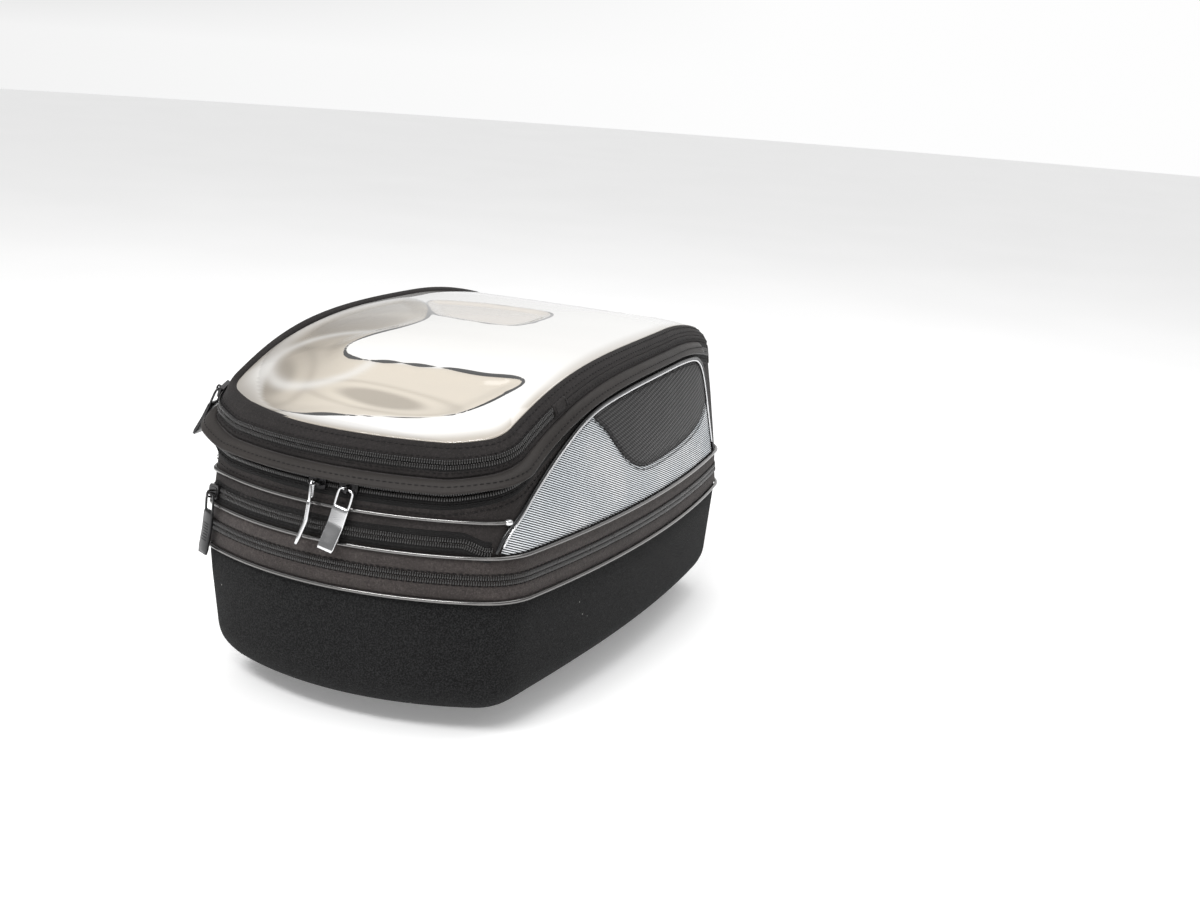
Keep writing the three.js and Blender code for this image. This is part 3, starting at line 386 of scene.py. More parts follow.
def wall_frame(line, t, narrow):
    """Point, direction along the line, up the wall and out of it."""
    before, point, after = (wall_point(s, line(s), narrow) for s in (t - 1e-3, t, t + 1e-3))
    along = (after - before).normalized()
    out = Vector((*outline(t)[3:], WALL_LEAN))
    out = (out - along * out.dot(along)).normalized()
    return point, along, out.cross(along), out


def evenly(line, span, pitch, narrow):
    """Places at even distances along a line on the wall."""
    samples = spread(*span, 500)
    total = running([wall_point(t, line(t), narrow) for t in samples])
    count = max(1, round(total[-1] / pitch))
    places, k = [], 0
    for i in range(count):
        wanted = total[-1] * (i + 0.5) / count
        while total[k + 1] < wanted:
            k += 1
        share = (wanted - total[k]) / (total[k + 1] - total[k])
        places.append(lerp(samples[k], samples[k + 1], share))
    return places


def beads(name, frames, low, high, radius, material, flat=1.0, slant=0.0):
    """One small round-ended bar on each frame, from low to high across it."""
    sides = 6
    stations = [(low, 0.45), (low + radius * 0.6, 1.0), (high - radius * 0.6, 1.0), (high, 0.45)]
    points, faces = [], []
    for point, along, up, out in frames:
        base = len(points)
        for reach, scale in stations:
            for i in range(sides):
                a = 2 * math.pi * i / sides
                sideways = scale * radius * math.cos(a) + slant * reach
                depth = scale * radius * flat * math.sin(a)
                points.append(point + up * reach + along * sideways + out * depth)
        for s in range(len(stations) - 1):
            for i in range(sides):
                j = (i + 1) % sides
                a, b = base + s * sides, base + (s + 1) * sides
                faces.append((a + i, a + j, b + j, b + i))
        faces.append(tuple(base + i for i in reversed(range(sides))))
        faces.append(tuple(base + (len(stations) - 1) * sides + i for i in range(sides)))
    return mesh_from(name, points, faces, material)


COIL_PITCH = 1.4
STITCH = 2.3
STITCH_PITCH = 3.6
STITCH_RADIUS = 0.24


def teeth(name, line, span, side, narrow=True, out=0.75):
    """One half of a nylon coil: side is 1 above the zip line, half a tooth further on, and -1 below it."""
    shift = COIL_PITCH / 2 if side > 0 else 0
    frames = []
    for t in evenly(line, span, COIL_PITCH, narrow):
        point, along, up, outwards = wall_frame(line, t, narrow)
        frames.append((point + outwards * out + along * shift, along, up * side, outwards))
    return beads(name, frames, 0.12, 2.75, 0.5, COIL, flat=0.9, slant=0.1 * side)


def seam(name, line, span, out, narrow=True):
    """A row of stitches along a line on the wall."""
    frames = []
    for t in evenly(line, span, STITCH_PITCH, narrow):
        point, along, up, outwards = wall_frame(line, t, narrow)
        frames.append((point + outwards * out, up, along, outwards))
    return beads(name, frames, -STITCH / 2, STITCH / 2, STITCH_RADIUS, THREAD)


# ---------------------------------------------------------------- materials

class Nodes:
    """Short ways to add and link the nodes of one tree."""

    def __init__(self, tree):
        self.tree = tree
        self.coordinates = tree.nodes.new("ShaderNodeTexCoord")

    def put(self, node, key, value):
        if isinstance(value, bpy.types.NodeSocket):
            self.tree.links.new(value, node.inputs[key])
        else:
            node.inputs[key].default_value = value

    def node(self, kind, inputs=None, **properties):
        made = self.tree.nodes.new("ShaderNode" + kind)
        for key, value in properties.items():
            setattr(made, key, value)
        for key, value in (inputs or {}).items():
            self.put(made, key, value)
        return made

    def math(self, operation, a, b=0.0, c=0.0):
        return self.node("Math", {0: a, 1: b, 2: c}, operation=operation).outputs[0]

    def noise(self, scale, detail=3.0, roughness=0.5):
        place = self.coordinates.outputs["Object"]
        inputs = {"Vector": place, "Scale": scale, "Detail": detail, "Roughness": roughness}
        return self.node("TexNoise", inputs).outputs["Fac"]

    def ramp(self, value, stops):
        """Grey levels that follow a value, from (position, level) stops."""
        made = self.node("ValToRGB", {"Fac": value})
        elements = made.color_ramp.elements
        while len(elements) < len(stops):
            elements.new(0.5)
        for element, (position, level) in zip(elements, stops):
            element.position = position
            element.color = (level, level, level, 1)
        return made.outputs["Color"]

    def grey(self, value, low, high, from_low=0.0, from_high=1.0):
        inputs = {"Value": value, "From Min": from_low, "From Max": from_high, "To Min": low, "To Max": high}
        return self.node("MapRange", inputs).outputs["Result"]

    def mix(self, factor, a, b):
        """Colour a where the factor is 0 and b where it is 1."""
        made = self.node("Mix", data_type="RGBA")
        self.put(made, "Factor", factor)
        for key, value in ((6, a), (7, b)):
            self.put(made, key, (*value, 1) if isinstance(value, tuple) else value)
        return made.outputs[2]

    def patches(self, slow, low, high):
        """Two colours in the slow patches of a noise."""
        return self.mix(self.grey(slow, 0, 1, 0.35, 0.65), low, high)

    def bump(self, height, strength, distance, normal=None):
        made = self.node("Bump", {"Height": height, "Strength": strength, "Distance": distance})
        if normal:
            self.put(made, "Normal", normal)
        return made.outputs["Normal"]

    def split(self, space="UV"):
        return tuple(self.node("SeparateXYZ", {0: self.coordinates.outputs[space]}).outputs)

    def waves(self, value, pitch):
        """A sine from -1 to 1 with one period per pitch metres."""
        return self.math("SINE", self.math("MULTIPLY", value, 2 * math.pi / pitch))

    def stripes(self, value, pitch):
        """A sine from 0 to 1 with one period per pitch metres."""
        return self.math("MULTIPLY_ADD", self.waves(value, pitch), 0.5, 0.5)


class Shader(Nodes):
    """One material with a Principled surface."""

    def __init__(self, name, **constants):
        self.material = bpy.data.materials.new(name)
        self.material.use_nodes = True
        super().__init__(self.material.node_tree)
        self.surface = self.tree.nodes["Principled BSDF"]
        for socket, value in constants.items():
            self.surface.inputs[socket.replace("_", " ")].default_value = value

    def finish(self, colour, rough=None, normal=None):
        for key, value in (("Base Color", colour), ("Roughness", rough), ("Normal", normal)):
            if value is not None:
                self.put(self.surface, key, value)
        return self.material


def scaled(colour, factor):
    return tuple(min(1.0, c * factor) for c in colour)


def woven(name, colour, pitch=0.0011, sheen=0.25, contrast=0.35):
    """Plain-weave fabric: crossed yarns, fine fuzz and slow changes of shade."""
    s = Shader(name, Sheen_Weight=sheen * 0.25, Sheen_Roughness=0.5, Specular_IOR_Level=0.2)
    u, v, _ = s.split()
    yarns = s.math("MULTIPLY", s.waves(u, pitch), s.waves(v, pitch))
    weave = s.math("MULTIPLY_ADD", yarns, 0.5, 0.5)
    slow = s.noise(28.0)
    fuzz = s.noise(1500.0, 2.0)
    slub = s.noise(620.0, 2.0, 0.6)
    base = s.patches(slow, scaled(colour, 0.75), scaled(colour, 1.25))
    grained = s.mix(s.grey(slub, 0.0, 1.0, 0.3, 0.7), scaled(colour, 0.55), base)
    dark = s.mix(s.grey(weave, contrast, 0.0), grained, scaled(colour, 0.2))
    speckled = s.mix(s.grey(fuzz, 0.0, 0.4, 0.5, 0.75), dark, scaled(colour, 2.2))
    height = s.math("MULTIPLY_ADD", fuzz, 0.5, weave)
    return s.finish(speckled, s.grey(slow, 0.79, 0.9), s.bump(height, 0.5, 0.00035))


def satin(name, colour, rough=0.62):
    """Smooth coated fabric with a faint twill and soft creases."""
    s = Shader(name, Sheen_Weight=0.105, Sheen_Roughness=0.4, Specular_IOR_Level=0.3)
    u, v, _ = s.split()
    twill = s.waves(s.math("ADD", u, v), 0.0009)
    slow = s.noise(22.0, 4.0)
    fine = s.noise(900.0, 2.0)
    crease = s.noise(90.0, 2.0)
    base = s.patches(slow, scaled(colour, 0.82), scaled(colour, 1.2))
    flecked = s.mix(s.grey(fine, 0.0, 0.3, 0.5, 0.8), base, scaled(colour, 1.5))
    first = s.bump(s.math("MULTIPLY_ADD", twill, 0.3, fine), 0.35, 0.0002)
    return s.finish(flecked, s.grey(slow, rough - 0.08, rough + 0.08), s.bump(crease, 0.25, 0.0012, first))


def ribbed(name, colour, pitch=0.0012):
    """Zip tape and webbing: ribs along the strip with a fine cross weave."""
    s = Shader(name, Sheen_Weight=0.04, Specular_IOR_Level=0.2)
    u, v, _ = s.split()
    ribs = s.stripes(v, pitch)
    cross = s.stripes(u, 0.0009)
    base = s.patches(s.noise(30.0), scaled(colour, 0.8), scaled(colour, 1.2))
    lined = s.mix(s.grey(ribs, 0.5, 0.0), base, scaled(colour, 0.3))
    height = s.math("MULTIPLY_ADD", cross, 0.5, ribs)
    return s.finish(lined, s.grey(cross, 0.72, 0.88), s.bump(height, 0.6, 0.0003))


def felted():
    """The tray's dark fuzzy cover, with lint caught in it."""
    s = Shader("moulded_shell", Sheen_Weight=0.03, Sheen_Roughness=0.6, Specular_IOR_Level=0.1)
    fuzz = s.noise(1150.0, 3.0, 0.7)
    slow = s.noise(14.0)
    base = s.patches(slow, (0.0035, 0.0035, 0.0037), (0.0062, 0.0062, 0.0065))
    furry = s.mix(s.grey(fuzz, 0.0, 1.0, 0.42, 0.72), base, (0.03, 0.0305, 0.031))
    cells = s.node("TexVoronoi", {"Vector": s.coordinates.outputs["Object"], "Scale": 160.0})
    chosen = s.math("LESS_THAN", s.node("SeparateColor", {0: cells.outputs["Color"]}).outputs[0], 0.035)
    lint = s.math("MULTIPLY", s.math("LESS_THAN", cells.outputs["Distance"], 0.085), chosen)
    linted = s.mix(lint, furry, (0.2, 0.2, 0.19))
    return s.finish(linted, s.grey(slow, 0.9, 0.98), s.bump(fuzz, 0.6, 0.0006))


def silver_cloth():
    """Silver fabric with fine pale and dark stripes that fall towards the front."""
    s = Shader("silver_fabric", Sheen_Weight=0.03, Metallic=0.3, Specular_IOR_Level=0.4)
    u, v, _ = s.split()
    stripe = s.stripes(s.math("MULTIPLY_ADD", u, 0.39, v), 0.00145)
    pale = s.patches(s.noise(26.0), (0.76, 0.81, 0.85), (0.94, 0.96, 0.98))
    lined = s.mix(s.grey(stripe, 0.0, 1.0, 0.6, 0.38), pale, (0.018, 0.021, 0.025))
    height = s.math("MULTIPLY_ADD", s.waves(u, 0.0008), 0.03, stripe)
    return s.finish(lined, s.grey(stripe, 0.62, 0.38), s.bump(height, 0.6, 0.0004))


def dotted_cloth():
    """Dark technical fabric with raised cells in diagonal rows."""
    s = Shader("insert_fabric", Sheen_Weight=0.03, Specular_IOR_Level=0.35)
    u, v, _ = s.split()
    one = s.waves(s.math("MULTIPLY_ADD", u, 0.3, v), 0.0022)
    two = s.waves(s.math("MULTIPLY_ADD", v, 0.5, u), 0.0048)
    cells = s.math("MULTIPLY_ADD", s.math("MULTIPLY", one, two), 0.5, 0.5)
    base = s.patches(s.noise(26.0), (0.020, 0.0185, 0.0185), (0.031, 0.029, 0.029))
    dotted = s.mix(s.grey(cells, 1.0, 0.0, 0.3, 0.6), base, (0.008, 0.008, 0.009))
    return s.finish(dotted, s.grey(cells, 0.7, 0.42), s.bump(cells, 0.8, 0.0006))


def glossy(name, colour, rough, metallic=0.0, wear=0.12, coat=0.0, bump=0.00012):
    """Moulded plastic, cord or metal: fine grain, smudges in the gloss and rubbed patches."""
    s = Shader(name, Metallic=metallic, Coat_Weight=coat, Coat_Roughness=0.08)
    smudge = s.noise(60.0, 4.0, 0.6)
    base = s.mix(s.grey(smudge, 0.0, 1.0, 0.35, 0.7), colour, scaled(colour, 1 + 2.2 * wear))
    level = s.grey(smudge, max(0.02, rough - wear * 0.5), rough + wear, 0.3, 0.75)
    return s.finish(base, level, s.bump(s.noise(2200.0, 2.0), 0.35, bump))


def backing_cloth():
    """The light board cover seen through the window, with a fine upright weave."""
    s = Shader("backing_fabric", Sheen_Weight=0.1)
    x, y, _ = s.split("Object")
    threads = s.stripes(x, 0.0021)
    base = s.patches(s.noise(20.0), (0.56, 0.51, 0.44), (0.68, 0.63, 0.55))
    lined = s.mix(s.grey(threads, 0.0, 0.3, 0.4, 1.0), base, (0.4, 0.35, 0.28))
    height = s.math("ADD", threads, s.stripes(y, 0.0017))
    return s.finish(lined, s.grey(threads, 0.7, 0.85), s.bump(height, 0.4, 0.0003))


def clear_film():
    """Soft clear film: colour and opacity from its colour attribute, which holds a painted white reflection
    and painted shade; painted dark lines where its fold attribute is near 0 or below.
    """
    s = Shader("clear_film", Coat_Weight=1.0, Coat_Roughness=0.03)
    # Colour and opacity painted on the film: a painted white reflection and painted shade.
    shade = s.node("Attribute", attribute_name="film_painted_light")
    fold = s.node("Attribute", attribute_name="film_painted_fold_line").outputs["Fac"]
    # Painted shade: dark, opaque lines along the film's folds and creases.
    dark = s.grey(fold, 1.0, 0.0, 0.0, 0.35)
    s.put(s.surface, "Alpha", s.math("MAXIMUM", shade.outputs["Alpha"], dark))
    colour = s.mix(dark, shade.outputs["Color"], (0.008, 0.008, 0.008))
    level = s.grey(s.noise(35.0, 4.0), 0.035, 0.11, 0.3, 0.75)
    return s.finish(colour, level, s.bump(s.noise(30.0, 1.0), 0.05, 0.001))


BALLISTIC = woven("ballistic_fabric", (0.034, 0.0295, 0.0285))
LINING = woven("lining_fabric", (0.05, 0.05, 0.052), pitch=0.0008, contrast=0.2)
BAND_CLOTH = woven("band_fabric", (0.066, 0.056, 0.053), pitch=0.0010, contrast=0.35, sheen=0.3)
BORDER_CLOTH = woven("border_fabric", (0.029, 0.0255, 0.025), pitch=0.0010, sheen=0.2)
FLAP_CLOTH = satin("flap_fabric", (0.022, 0.0185, 0.0168))
BINDING = satin("binding_fabric", (0.032, 0.0265, 0.025), rough=0.5)
TAPE = ribbed("zip_tape", (0.012, 0.0115, 0.0115))
WEBBING = ribbed("webbing", (0.03, 0.03, 0.031), pitch=0.0016)
THREAD = woven("thread", (0.016, 0.015, 0.015), pitch=0.0004)
SHELL = felted()
SILVER = silver_cloth()
INSERT = dotted_cloth()
PIPING = glossy("piping", (0.19, 0.185, 0.182), 0.14, metallic=0.9, wear=0.04, bump=0.00001)
PIPING_BLACK = glossy("piping_black", (0.012, 0.012, 0.013), 0.25, wear=0.08)
PIPING_SILVER = glossy("piping_silver", (0.75, 0.75, 0.76), 0.2, metallic=0.8, wear=0.05, bump=0.00002)
COIL = glossy("zip_coil", (0.022, 0.0205, 0.02), 0.28, wear=0.08, coat=0.5, bump=0.00002)
SLIDER = glossy("slider_metal", (0.035, 0.034, 0.035), 0.2, metallic=0.85, wear=0.1)
PULL_BLACK = glossy("puller_black", (0.02, 0.02, 0.021), 0.3, metallic=0.5, wear=0.12, coat=0.3)
CHROME = glossy("puller_metal", (0.72, 0.72, 0.73), 0.12, metallic=1.0, wear=0.08)
PLASTIC = glossy("moulded_plastic", (0.018, 0.018, 0.019), 0.42, wear=0.12, bump=0.0003)
RELEASE = glossy("release_plastic", (0.34, 0.022, 0.015), 0.38, wear=0.1, bump=0.0003)
STEEL = glossy("steel", (0.5, 0.5, 0.51), 0.26, metallic=1.0, wear=0.12)
FOAM = glossy("board_foam", (0.03, 0.03, 0.031), 0.75, wear=0.1, bump=0.0006)
BACKING = backing_cloth()
FILM = clear_film()


# ---------------------------------------------------------------- pieces

def dress(obj, node=None):
    """Stand for a CAD node."""
    if node:
        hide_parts(node)
    return obj


def put(obj, body, node=None):
    """Ride on a body and stand for a CAD node."""
    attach(obj, body)
    return dress(obj, node)


def puff(t, z, size=0.5):
    """Slow unevenness of a soft wall, in millimetres."""
    p = point_at(t, 0, z)
    return size * noise.noise(Vector((p.x / 34, p.y / 34, z / 22)))


# Base tray: a moulded shell with a rounded lower edge
EDGE_RISE = 25
EDGE_IN = 21
FLOOR_TUCK = 14
SHELL_THICKNESS = 5
FOOT_INSET = BASE_INSET + 3


def tray_section(t):
    along = (line_y(t) - SIDE_MIDDLE_Y) / 140
    reach = EDGE_IN + FLOOR_TUCK * max(0.0, 1 - along * along)
    outer, inner = [], []
    for i in range(13):
        a = math.pi / 2 * i / 12
        outer.append((FOOT_INSET + reach - reach * math.sin(a),
                      TRAY_BOTTOM_Z + EDGE_RISE * (1 - math.cos(a))))
        inner.append((FOOT_INSET + reach - (reach - SHELL_THICKNESS) * math.sin(a),
                      TRAY_BOTTOM_Z + EDGE_RISE - (EDGE_RISE - SHELL_THICKNESS) * math.cos(a)))
    top = TRAY_TOP_Z
    wall = [(lerp(FOOT_INSET, BASE_INSET, f), lerp(TRAY_BOTTOM_Z + EDGE_RISE, top - 1.2, f))
            for f in (0.33, 0.66, 1)]
    lip = [(BASE_INSET + inward, top - down) for inward, down in ((0.4, 0.3), (1.4, 0), (4.4, 0), (5, 0.6))]
    within = [(BASE_INSET + 6.4, 60), (BASE_INSET + 7.6, 42)]
    return outer + wall + lip + within + inner[::-1]


def tray():
    """The shell is a loop of sections whose floor closes over the middle."""
    shares = (0.02, 0.4, 0.75)
    rows = []
    for t in LOOP:
        section = [wall_point(t, corner) for corner in tray_section(t)]
        low, high = section[0], section[-1]
        under = [Vector((low.x * s, low.y * s, low.z)) for s in shares]
        over = [Vector((high.x * s, high.y * s, high.z)) for s in reversed(shares)]
        rows.append(under + section + over)
    count, width = len(rows), len(rows[0])
    made = grid("tray_shell", rows, SHELL, loop_rows=True)
    shell = bmesh.new()
    shell.from_mesh(made.data)
    shell.verts.ensure_lookup_table()
    shell.faces.new([shell.verts[i * width] for i in range(count)])
    shell.faces.new([shell.verts[i * width + width - 1] for i in reversed(range(count))])
    bmesh.ops.recalc_face_normals(shell, faces=shell.faces)
    shell.to_mesh(made.data)
    shell.free()
    return made


put(tray(), "base", "base_tray")


def wall_line(z_at, up=0.0):
    """A line on the wall at the height z_at(t), or up above it."""
    def line(t):
        z = z_at(t) + up
        return wall_inset(z), z
    return line


def level_line(z):
    return wall_line(lambda t: z)


def piping_place(z):
    return wall_inset(z) - 1.45, z


def outward_at(t):
    return Vector((*outline(t)[3:], 0))


def round_piping(name, place, radius=1.2, places=LOOP):
    """A round cord on the wall at one (inset, z)."""
    path = [wall_point(t, place) for t in places]
    return sweep(name, path, circle(radius), PIPING, [outward_at(t) for t in places], closed=places is LOOP)


rear_end = place_at_y(-153.5, 5)
for name, place, radius, places, body in (
        ("base", (0.05, BASE_SEAM_Z), 1.15, LOOP, "base"),
        ("waist", piping_place(WAIST_SEAM_Z), 1.2, LOOP, "upper_body"),
        ("rear", piping_place(REAR_PIPING_Z), 1.2, spread(-rear_end, rear_end, 90), "upper_body")):
    put(round_piping(f"piping_{name}_cord", place, radius, places), body, f"piping_{name}")


def cord_end(name, place, along, outwards, radius=1.9, length=5.0):
    """The rounded moulded end of a cord, as rings along it."""
    rings = []
    for i in range(13):
        f = i / 12
        reach = radius * math.sqrt(max(0.0004, 1 - (2 * f - 1) ** 2)) ** 0.8
        centre = place + along * (f - 0.5) * length
        across = along.cross(outwards).normalized()
        rings.append([centre + outwards * a + across * b for a, b in circle(reach, 16)])
    return grid(name, [list(column) for column in zip(*rings)], PIPING_SILVER, loop_rows=True)


for side, sign in (("right", 1), ("left", -1)):
    t = sign * rear_end
    where, ahead = (wall_point(u, piping_place(REAR_PIPING_Z)) for u in (t, t + sign * 0.002))
    end = cord_end(f"piping_rear_end_{side}", where, (ahead - where).normalized(), outward_at(t))
    put(end, "upper_body")


# Bands above and below the expansion zip
def slab(inner, outer):
    """A closed band section from its outer points and a thickness inwards."""
    return outer + [(i + inner, z) for i, z in reversed(outer)]


def base_band_section(t):
    z0, z1 = BASE_SEAM_Z + 0.3, EXPANSION_ZIP_Z - 0.3
    swell = 0.5 + puff(t, 92, 0.25)
    return slab(2.4, [
        (wall_inset(z0) + 0.3, z0), (wall_inset(z0) - 0.1 - swell * 0.6, z0 + 1.6),
        (wall_inset(91) - swell, 91), (wall_inset(94) - swell * 0.6, 94.2),
        (wall_inset(95) + 0.35, 95.1), (wall_inset(z1) + 0.5, z1)])


def waist_band_section(t):
    z0, z1 = EXPANSION_ZIP_Z + 0.3, WAIST_SEAM_Z - 0.8
    swell = 0.3 + puff(t, 105, 0.25)
    return slab(2.3, [
        (wall_inset(z0) + 0.5, z0), (wall_inset(101) + 0.35, 101), (wall_inset(102) - swell * 0.6, 102),
        (wall_inset(105) - swell, 105), (wall_inset(108) - swell, 108.5), (wall_inset(z1), z1)])


for name, body, section in (
        ("base_band", "base", base_band_section), ("waist_band", "upper_body", waist_band_section)):
    put(band(f"{name}_cloth", LOOP, section, BAND_CLOTH), body, name)


def zip_coils(name, line, span, bodies, narrow=True, out=0.75):
    """Both halves of a zip's coil, each on its own body."""
    for half, side, body in zip(("lower", "upper"), (-1, 1), bodies):
        coil = teeth(f"{name}_teeth_{half}", line, span, side, narrow, out)
        put(coil, body, f"{name}_coil_{half}")


zip_coils("expansion", level_line(EXPANSION_ZIP_Z), ALL_ROUND, ("base", "upper_body"), out=0.55)
for label, z, body in (("lower", 94.7, "base"), ("upper", 101.4, "upper_body")):
    put(seam(f"expansion_stitches_{label}", level_line(z), ALL_ROUND, 0.25), body)


# Folded gusset inside the expansion zip, drawn open as the bag is raised
GUSSET_FOLDS = 9


def gusset_section(t):
    outer = []
    for i in range(GUSSET_FOLDS + 1):
        z = lerp(91, 105, i / GUSSET_FOLDS)
        outer.append((4.9 if i % 2 == 0 else 11.8, z))
    return outer + [(inset + 0.35, z) for inset, z in reversed(outer)]


gusset = dress(band("gusset_folds", LOOP, gusset_section, LINING), "expansion_gusset")
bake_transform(gusset)


# Upper wall, with the side panels and piping on it
def upper_wall_section(t):
    top = lid_line(line_y(t)) - 0.3
    low = WAIST_SEAM_Z + 0.3
    outer = []
    for i in range(13):
        f = i / 12
        z = lerp(low, top, f)
        swell = math.sin(math.pi * f) ** 0.5 if 0 < f < 1 else 0
        outer.append((wall_inset(z) - swell * (0.15 + puff(t, z, 0.3)), z))
    return slab(3.6, outer)


put(band("upper_wall_cloth", LOOP, upper_wall_section, BALLISTIC),
    "upper_body", "upper_wall")

SIDE_PIPING_POINTS = [
    (-160.5, 113.5), (-153.5, 126), (-135, 142.5), (-101, 163.5), (-65, 178.5), (-20, 185),
    (40, 187.8), (90, 187.6), (120, 183), (134, 168), (143, 132), (147, 113.5),
]
INSERT_POINTS = [
    (-64, 175.4), (-49, 165), (-26, 144), (0, 133.5), (45, 133.5), (90, 136.5), (118, 142), (134.6, 151.5),
]


class Curve2:
    """A smooth curve through (y, z) points, read by its share of length."""

    def __init__(self, points):
        fine = []
        for i in range(len(points) - 1):
            a, b, c, d = (Vector(points[min(max(i + k, 0), len(points) - 1)]) for k in (-1, 0, 1, 2))
            for s in range(12):
                t = s / 12
                fine.append(0.5 * (2 * b + (c - a) * t + (2 * a - 5 * b + 4 * c - d) * t * t
                                   + (3 * b - a - 3 * c + d) * t ** 3))
        fine.append(Vector(points[-1]))
        self.points = fine
        self.total = running([Vector((*p, 0)) for p in fine])

    def at(self, u):
        wanted = min(max(u, 0), 1) * self.total[-1]
        k = 0
        while k < len(self.total) - 2 and self.total[k + 1] < wanted:
            k += 1
        share = (wanted - self.total[k]) / max(1e-9, self.total[k + 1] - self.total[k])
        return self.points[k].lerp(self.points[k + 1], min(1.0, share))

    def normal(self, u):
        """To the panel's side of the curve."""
        d = (self.at(u + 0.01) - self.at(u - 0.01)).normalized()
        return Vector((d.y, -d.x))


side_curve = Curve2(SIDE_PIPING_POINTS)
insert_curve = Curve2(INSERT_POINTS)


def on_side(y, z, out, sign):
    """A point on the bag's side wall, out from it; sign is 1 on the right and -1 on the left."""
    inset = wall_inset(z) - out
    p = point_at(place_at_y(y, inset), inset, z)
    return squeezed(Vector((sign * p.x, p.y, p.z)))


def side_skin(name, edge_low, edge_high, across, along, out, material, sign, crown=0.5):
    """A thin panel between two curves on the side wall, with its edges turned down."""
    outer, inner = [], []
    for i in range(along + 1):
        low, high = edge_low(i / along), edge_high(i / along)
        rim_u = min(1.0, 6 * min(i, along - i) / along)
        row = []
        for k in range(across + 1):
            f = k / across
            y, z = low.lerp(high, f)
            edge = min(rim_u, 7 * min(f, 1 - f), 1)
            swell = 4 * f * (1 - f) * crown * min(1, 3 * i / along)
            wave = 0.25 * noise.noise(Vector((y / 26, z / 18, 3 + sign)))
            row.append((y, z, out * (0.35 + 0.65 * math.sqrt(edge)) + swell * rim_u + wave * edge))
        outer.append(row)
    width = across + 1
    points = [on_side(y, z, o, sign) for row in outer for y, z, o in row]
    faces, uvs = [], []
    for i in range(along):
        for k in range(across):
            corners = (i * width + k, (i + 1) * width + k, (i + 1) * width + k + 1, i * width + k + 1)
            faces.append(corners)
            flat = [(outer[c // width][c % width]) for c in corners]
            uvs += [(y * MM, z * MM) for y, z, _ in flat]
    made = thickened(mesh_from(name, points, faces, material, uvs), 0.6)
    normal = made.data.polygons[len(made.data.polygons) // 2].normal
    if normal.x * sign < 0:
        made.data.flip_normals()
    return made


PANEL_LOW_Z = WAIST_SEAM_Z + 1.6
EDGE_MARGIN = 2.5


def inside_curve(u, margin=EDGE_MARGIN):
    return side_curve.at(u) + side_curve.normal(u) * margin


INSERT_START = next(i / 400 for i in range(400) if inside_curve(i / 400).x > INSERT_POINTS[0][0])
INSERT_END = next(i / 400 for i in range(200, 400)
                  if inside_curve(i / 400).x > 128 and inside_curve(i / 400).y < INSERT_POINTS[-1][1])
PANEL_START = next(i / 400 for i in range(400) if inside_curve(i / 400).y > PANEL_LOW_Z)
PANEL_END = next(i / 400 for i in range(399, 0, -1) if inside_curve(i / 400).y > PANEL_LOW_Z)


def panel_top(f):
    """The silver panel's upper edge: piping, insert curve, then piping again."""
    lengths = [INSERT_START - PANEL_START, 0.42, PANEL_END - INSERT_END]
    at = f * sum(lengths)
    if at <= lengths[0]:
        return inside_curve(PANEL_START + at)
    if at <= lengths[0] + lengths[1]:
        return insert_curve.at((at - lengths[0]) / lengths[1]) - Vector((0, 0.4))
    return inside_curve(INSERT_END + at - lengths[0] - lengths[1])


def panel_bottom(f):
    return Vector((lerp(inside_curve(PANEL_START).x + 1, inside_curve(PANEL_END).x, f), PANEL_LOW_Z))


def insert_top(f):
    return inside_curve(lerp(INSERT_START, INSERT_END, f))


def curve_cord(name, curve_point, radius, material, sign, out):
    places = [curve_point(u) for u in spread(0, 1, 130)]
    path = [on_side(y, z, out, sign) for y, z in places]
    outs = [on_side(y, z, out + 2, sign) - point for (y, z), point in zip(places, path)]
    return sweep(name, path, circle(radius, 8), material, outs)


def curve_stitches(name, curve_point, length, sign, out):
    def at(u, beyond=0.0):
        return on_side(*curve_point(min(1, max(0, u))), out + beyond, sign)

    count = int(length / STITCH_PITCH)
    frames = []
    for i in range(count):
        u = (i + 0.5) / count
        along = (at(u + 0.004) - at(u - 0.004)).normalized()
        outwards = (at(u, 2) - at(u)).normalized()
        frames.append((at(u), along.cross(outwards), along, outwards))
    return beads(name, frames, -STITCH / 2, STITCH / 2, STITCH_RADIUS, THREAD)


def welt_line(u):
    return side_curve.at(u) - side_curve.normal(u) * 0.1


def bright_line(u):
    return side_curve.at(0.012 + 0.97 * u) + side_curve.normal(0.012 + 0.97 * u) * 1.6


for side, sign in (("right", 1), ("left", -1)):
    put(side_skin(f"side_panel_cloth_{side}", panel_bottom, panel_top, 26, 110, 0.9, SILVER, sign),
        "upper_body", f"side_panel_{side}")
    put(side_skin(f"side_insert_cloth_{side}", insert_curve.at, insert_top, 20, 70, 1.1, INSERT, sign, 0.9),
        "upper_body", f"side_insert_{side}")
    put(curve_cord(f"side_welt_{side}", welt_line, 1.1, PIPING_BLACK, sign, 1.3),
        "upper_body", f"side_piping_{side}")
    put(curve_cord(f"side_bright_cord_{side}", bright_line, 0.7, PIPING_SILVER, sign, 1.35),
        "upper_body")
    for label, curve_point, length, out in (
            ("stitches", lambda u: insert_curve.at(u) - Vector((0, 2.2)), 260, 1.35),
            ("stitches_upper", lambda u: insert_curve.at(u) + Vector((0, 1.8)), 260, 1.7),
            ("edge_stitches", lambda u: inside_curve(lerp(INSERT_START, INSERT_END, u), 4.2), 290, 1.7)):
        put(curve_stitches(f"insert_{label}_{side}", curve_point, length, sign, out), "upper_body")


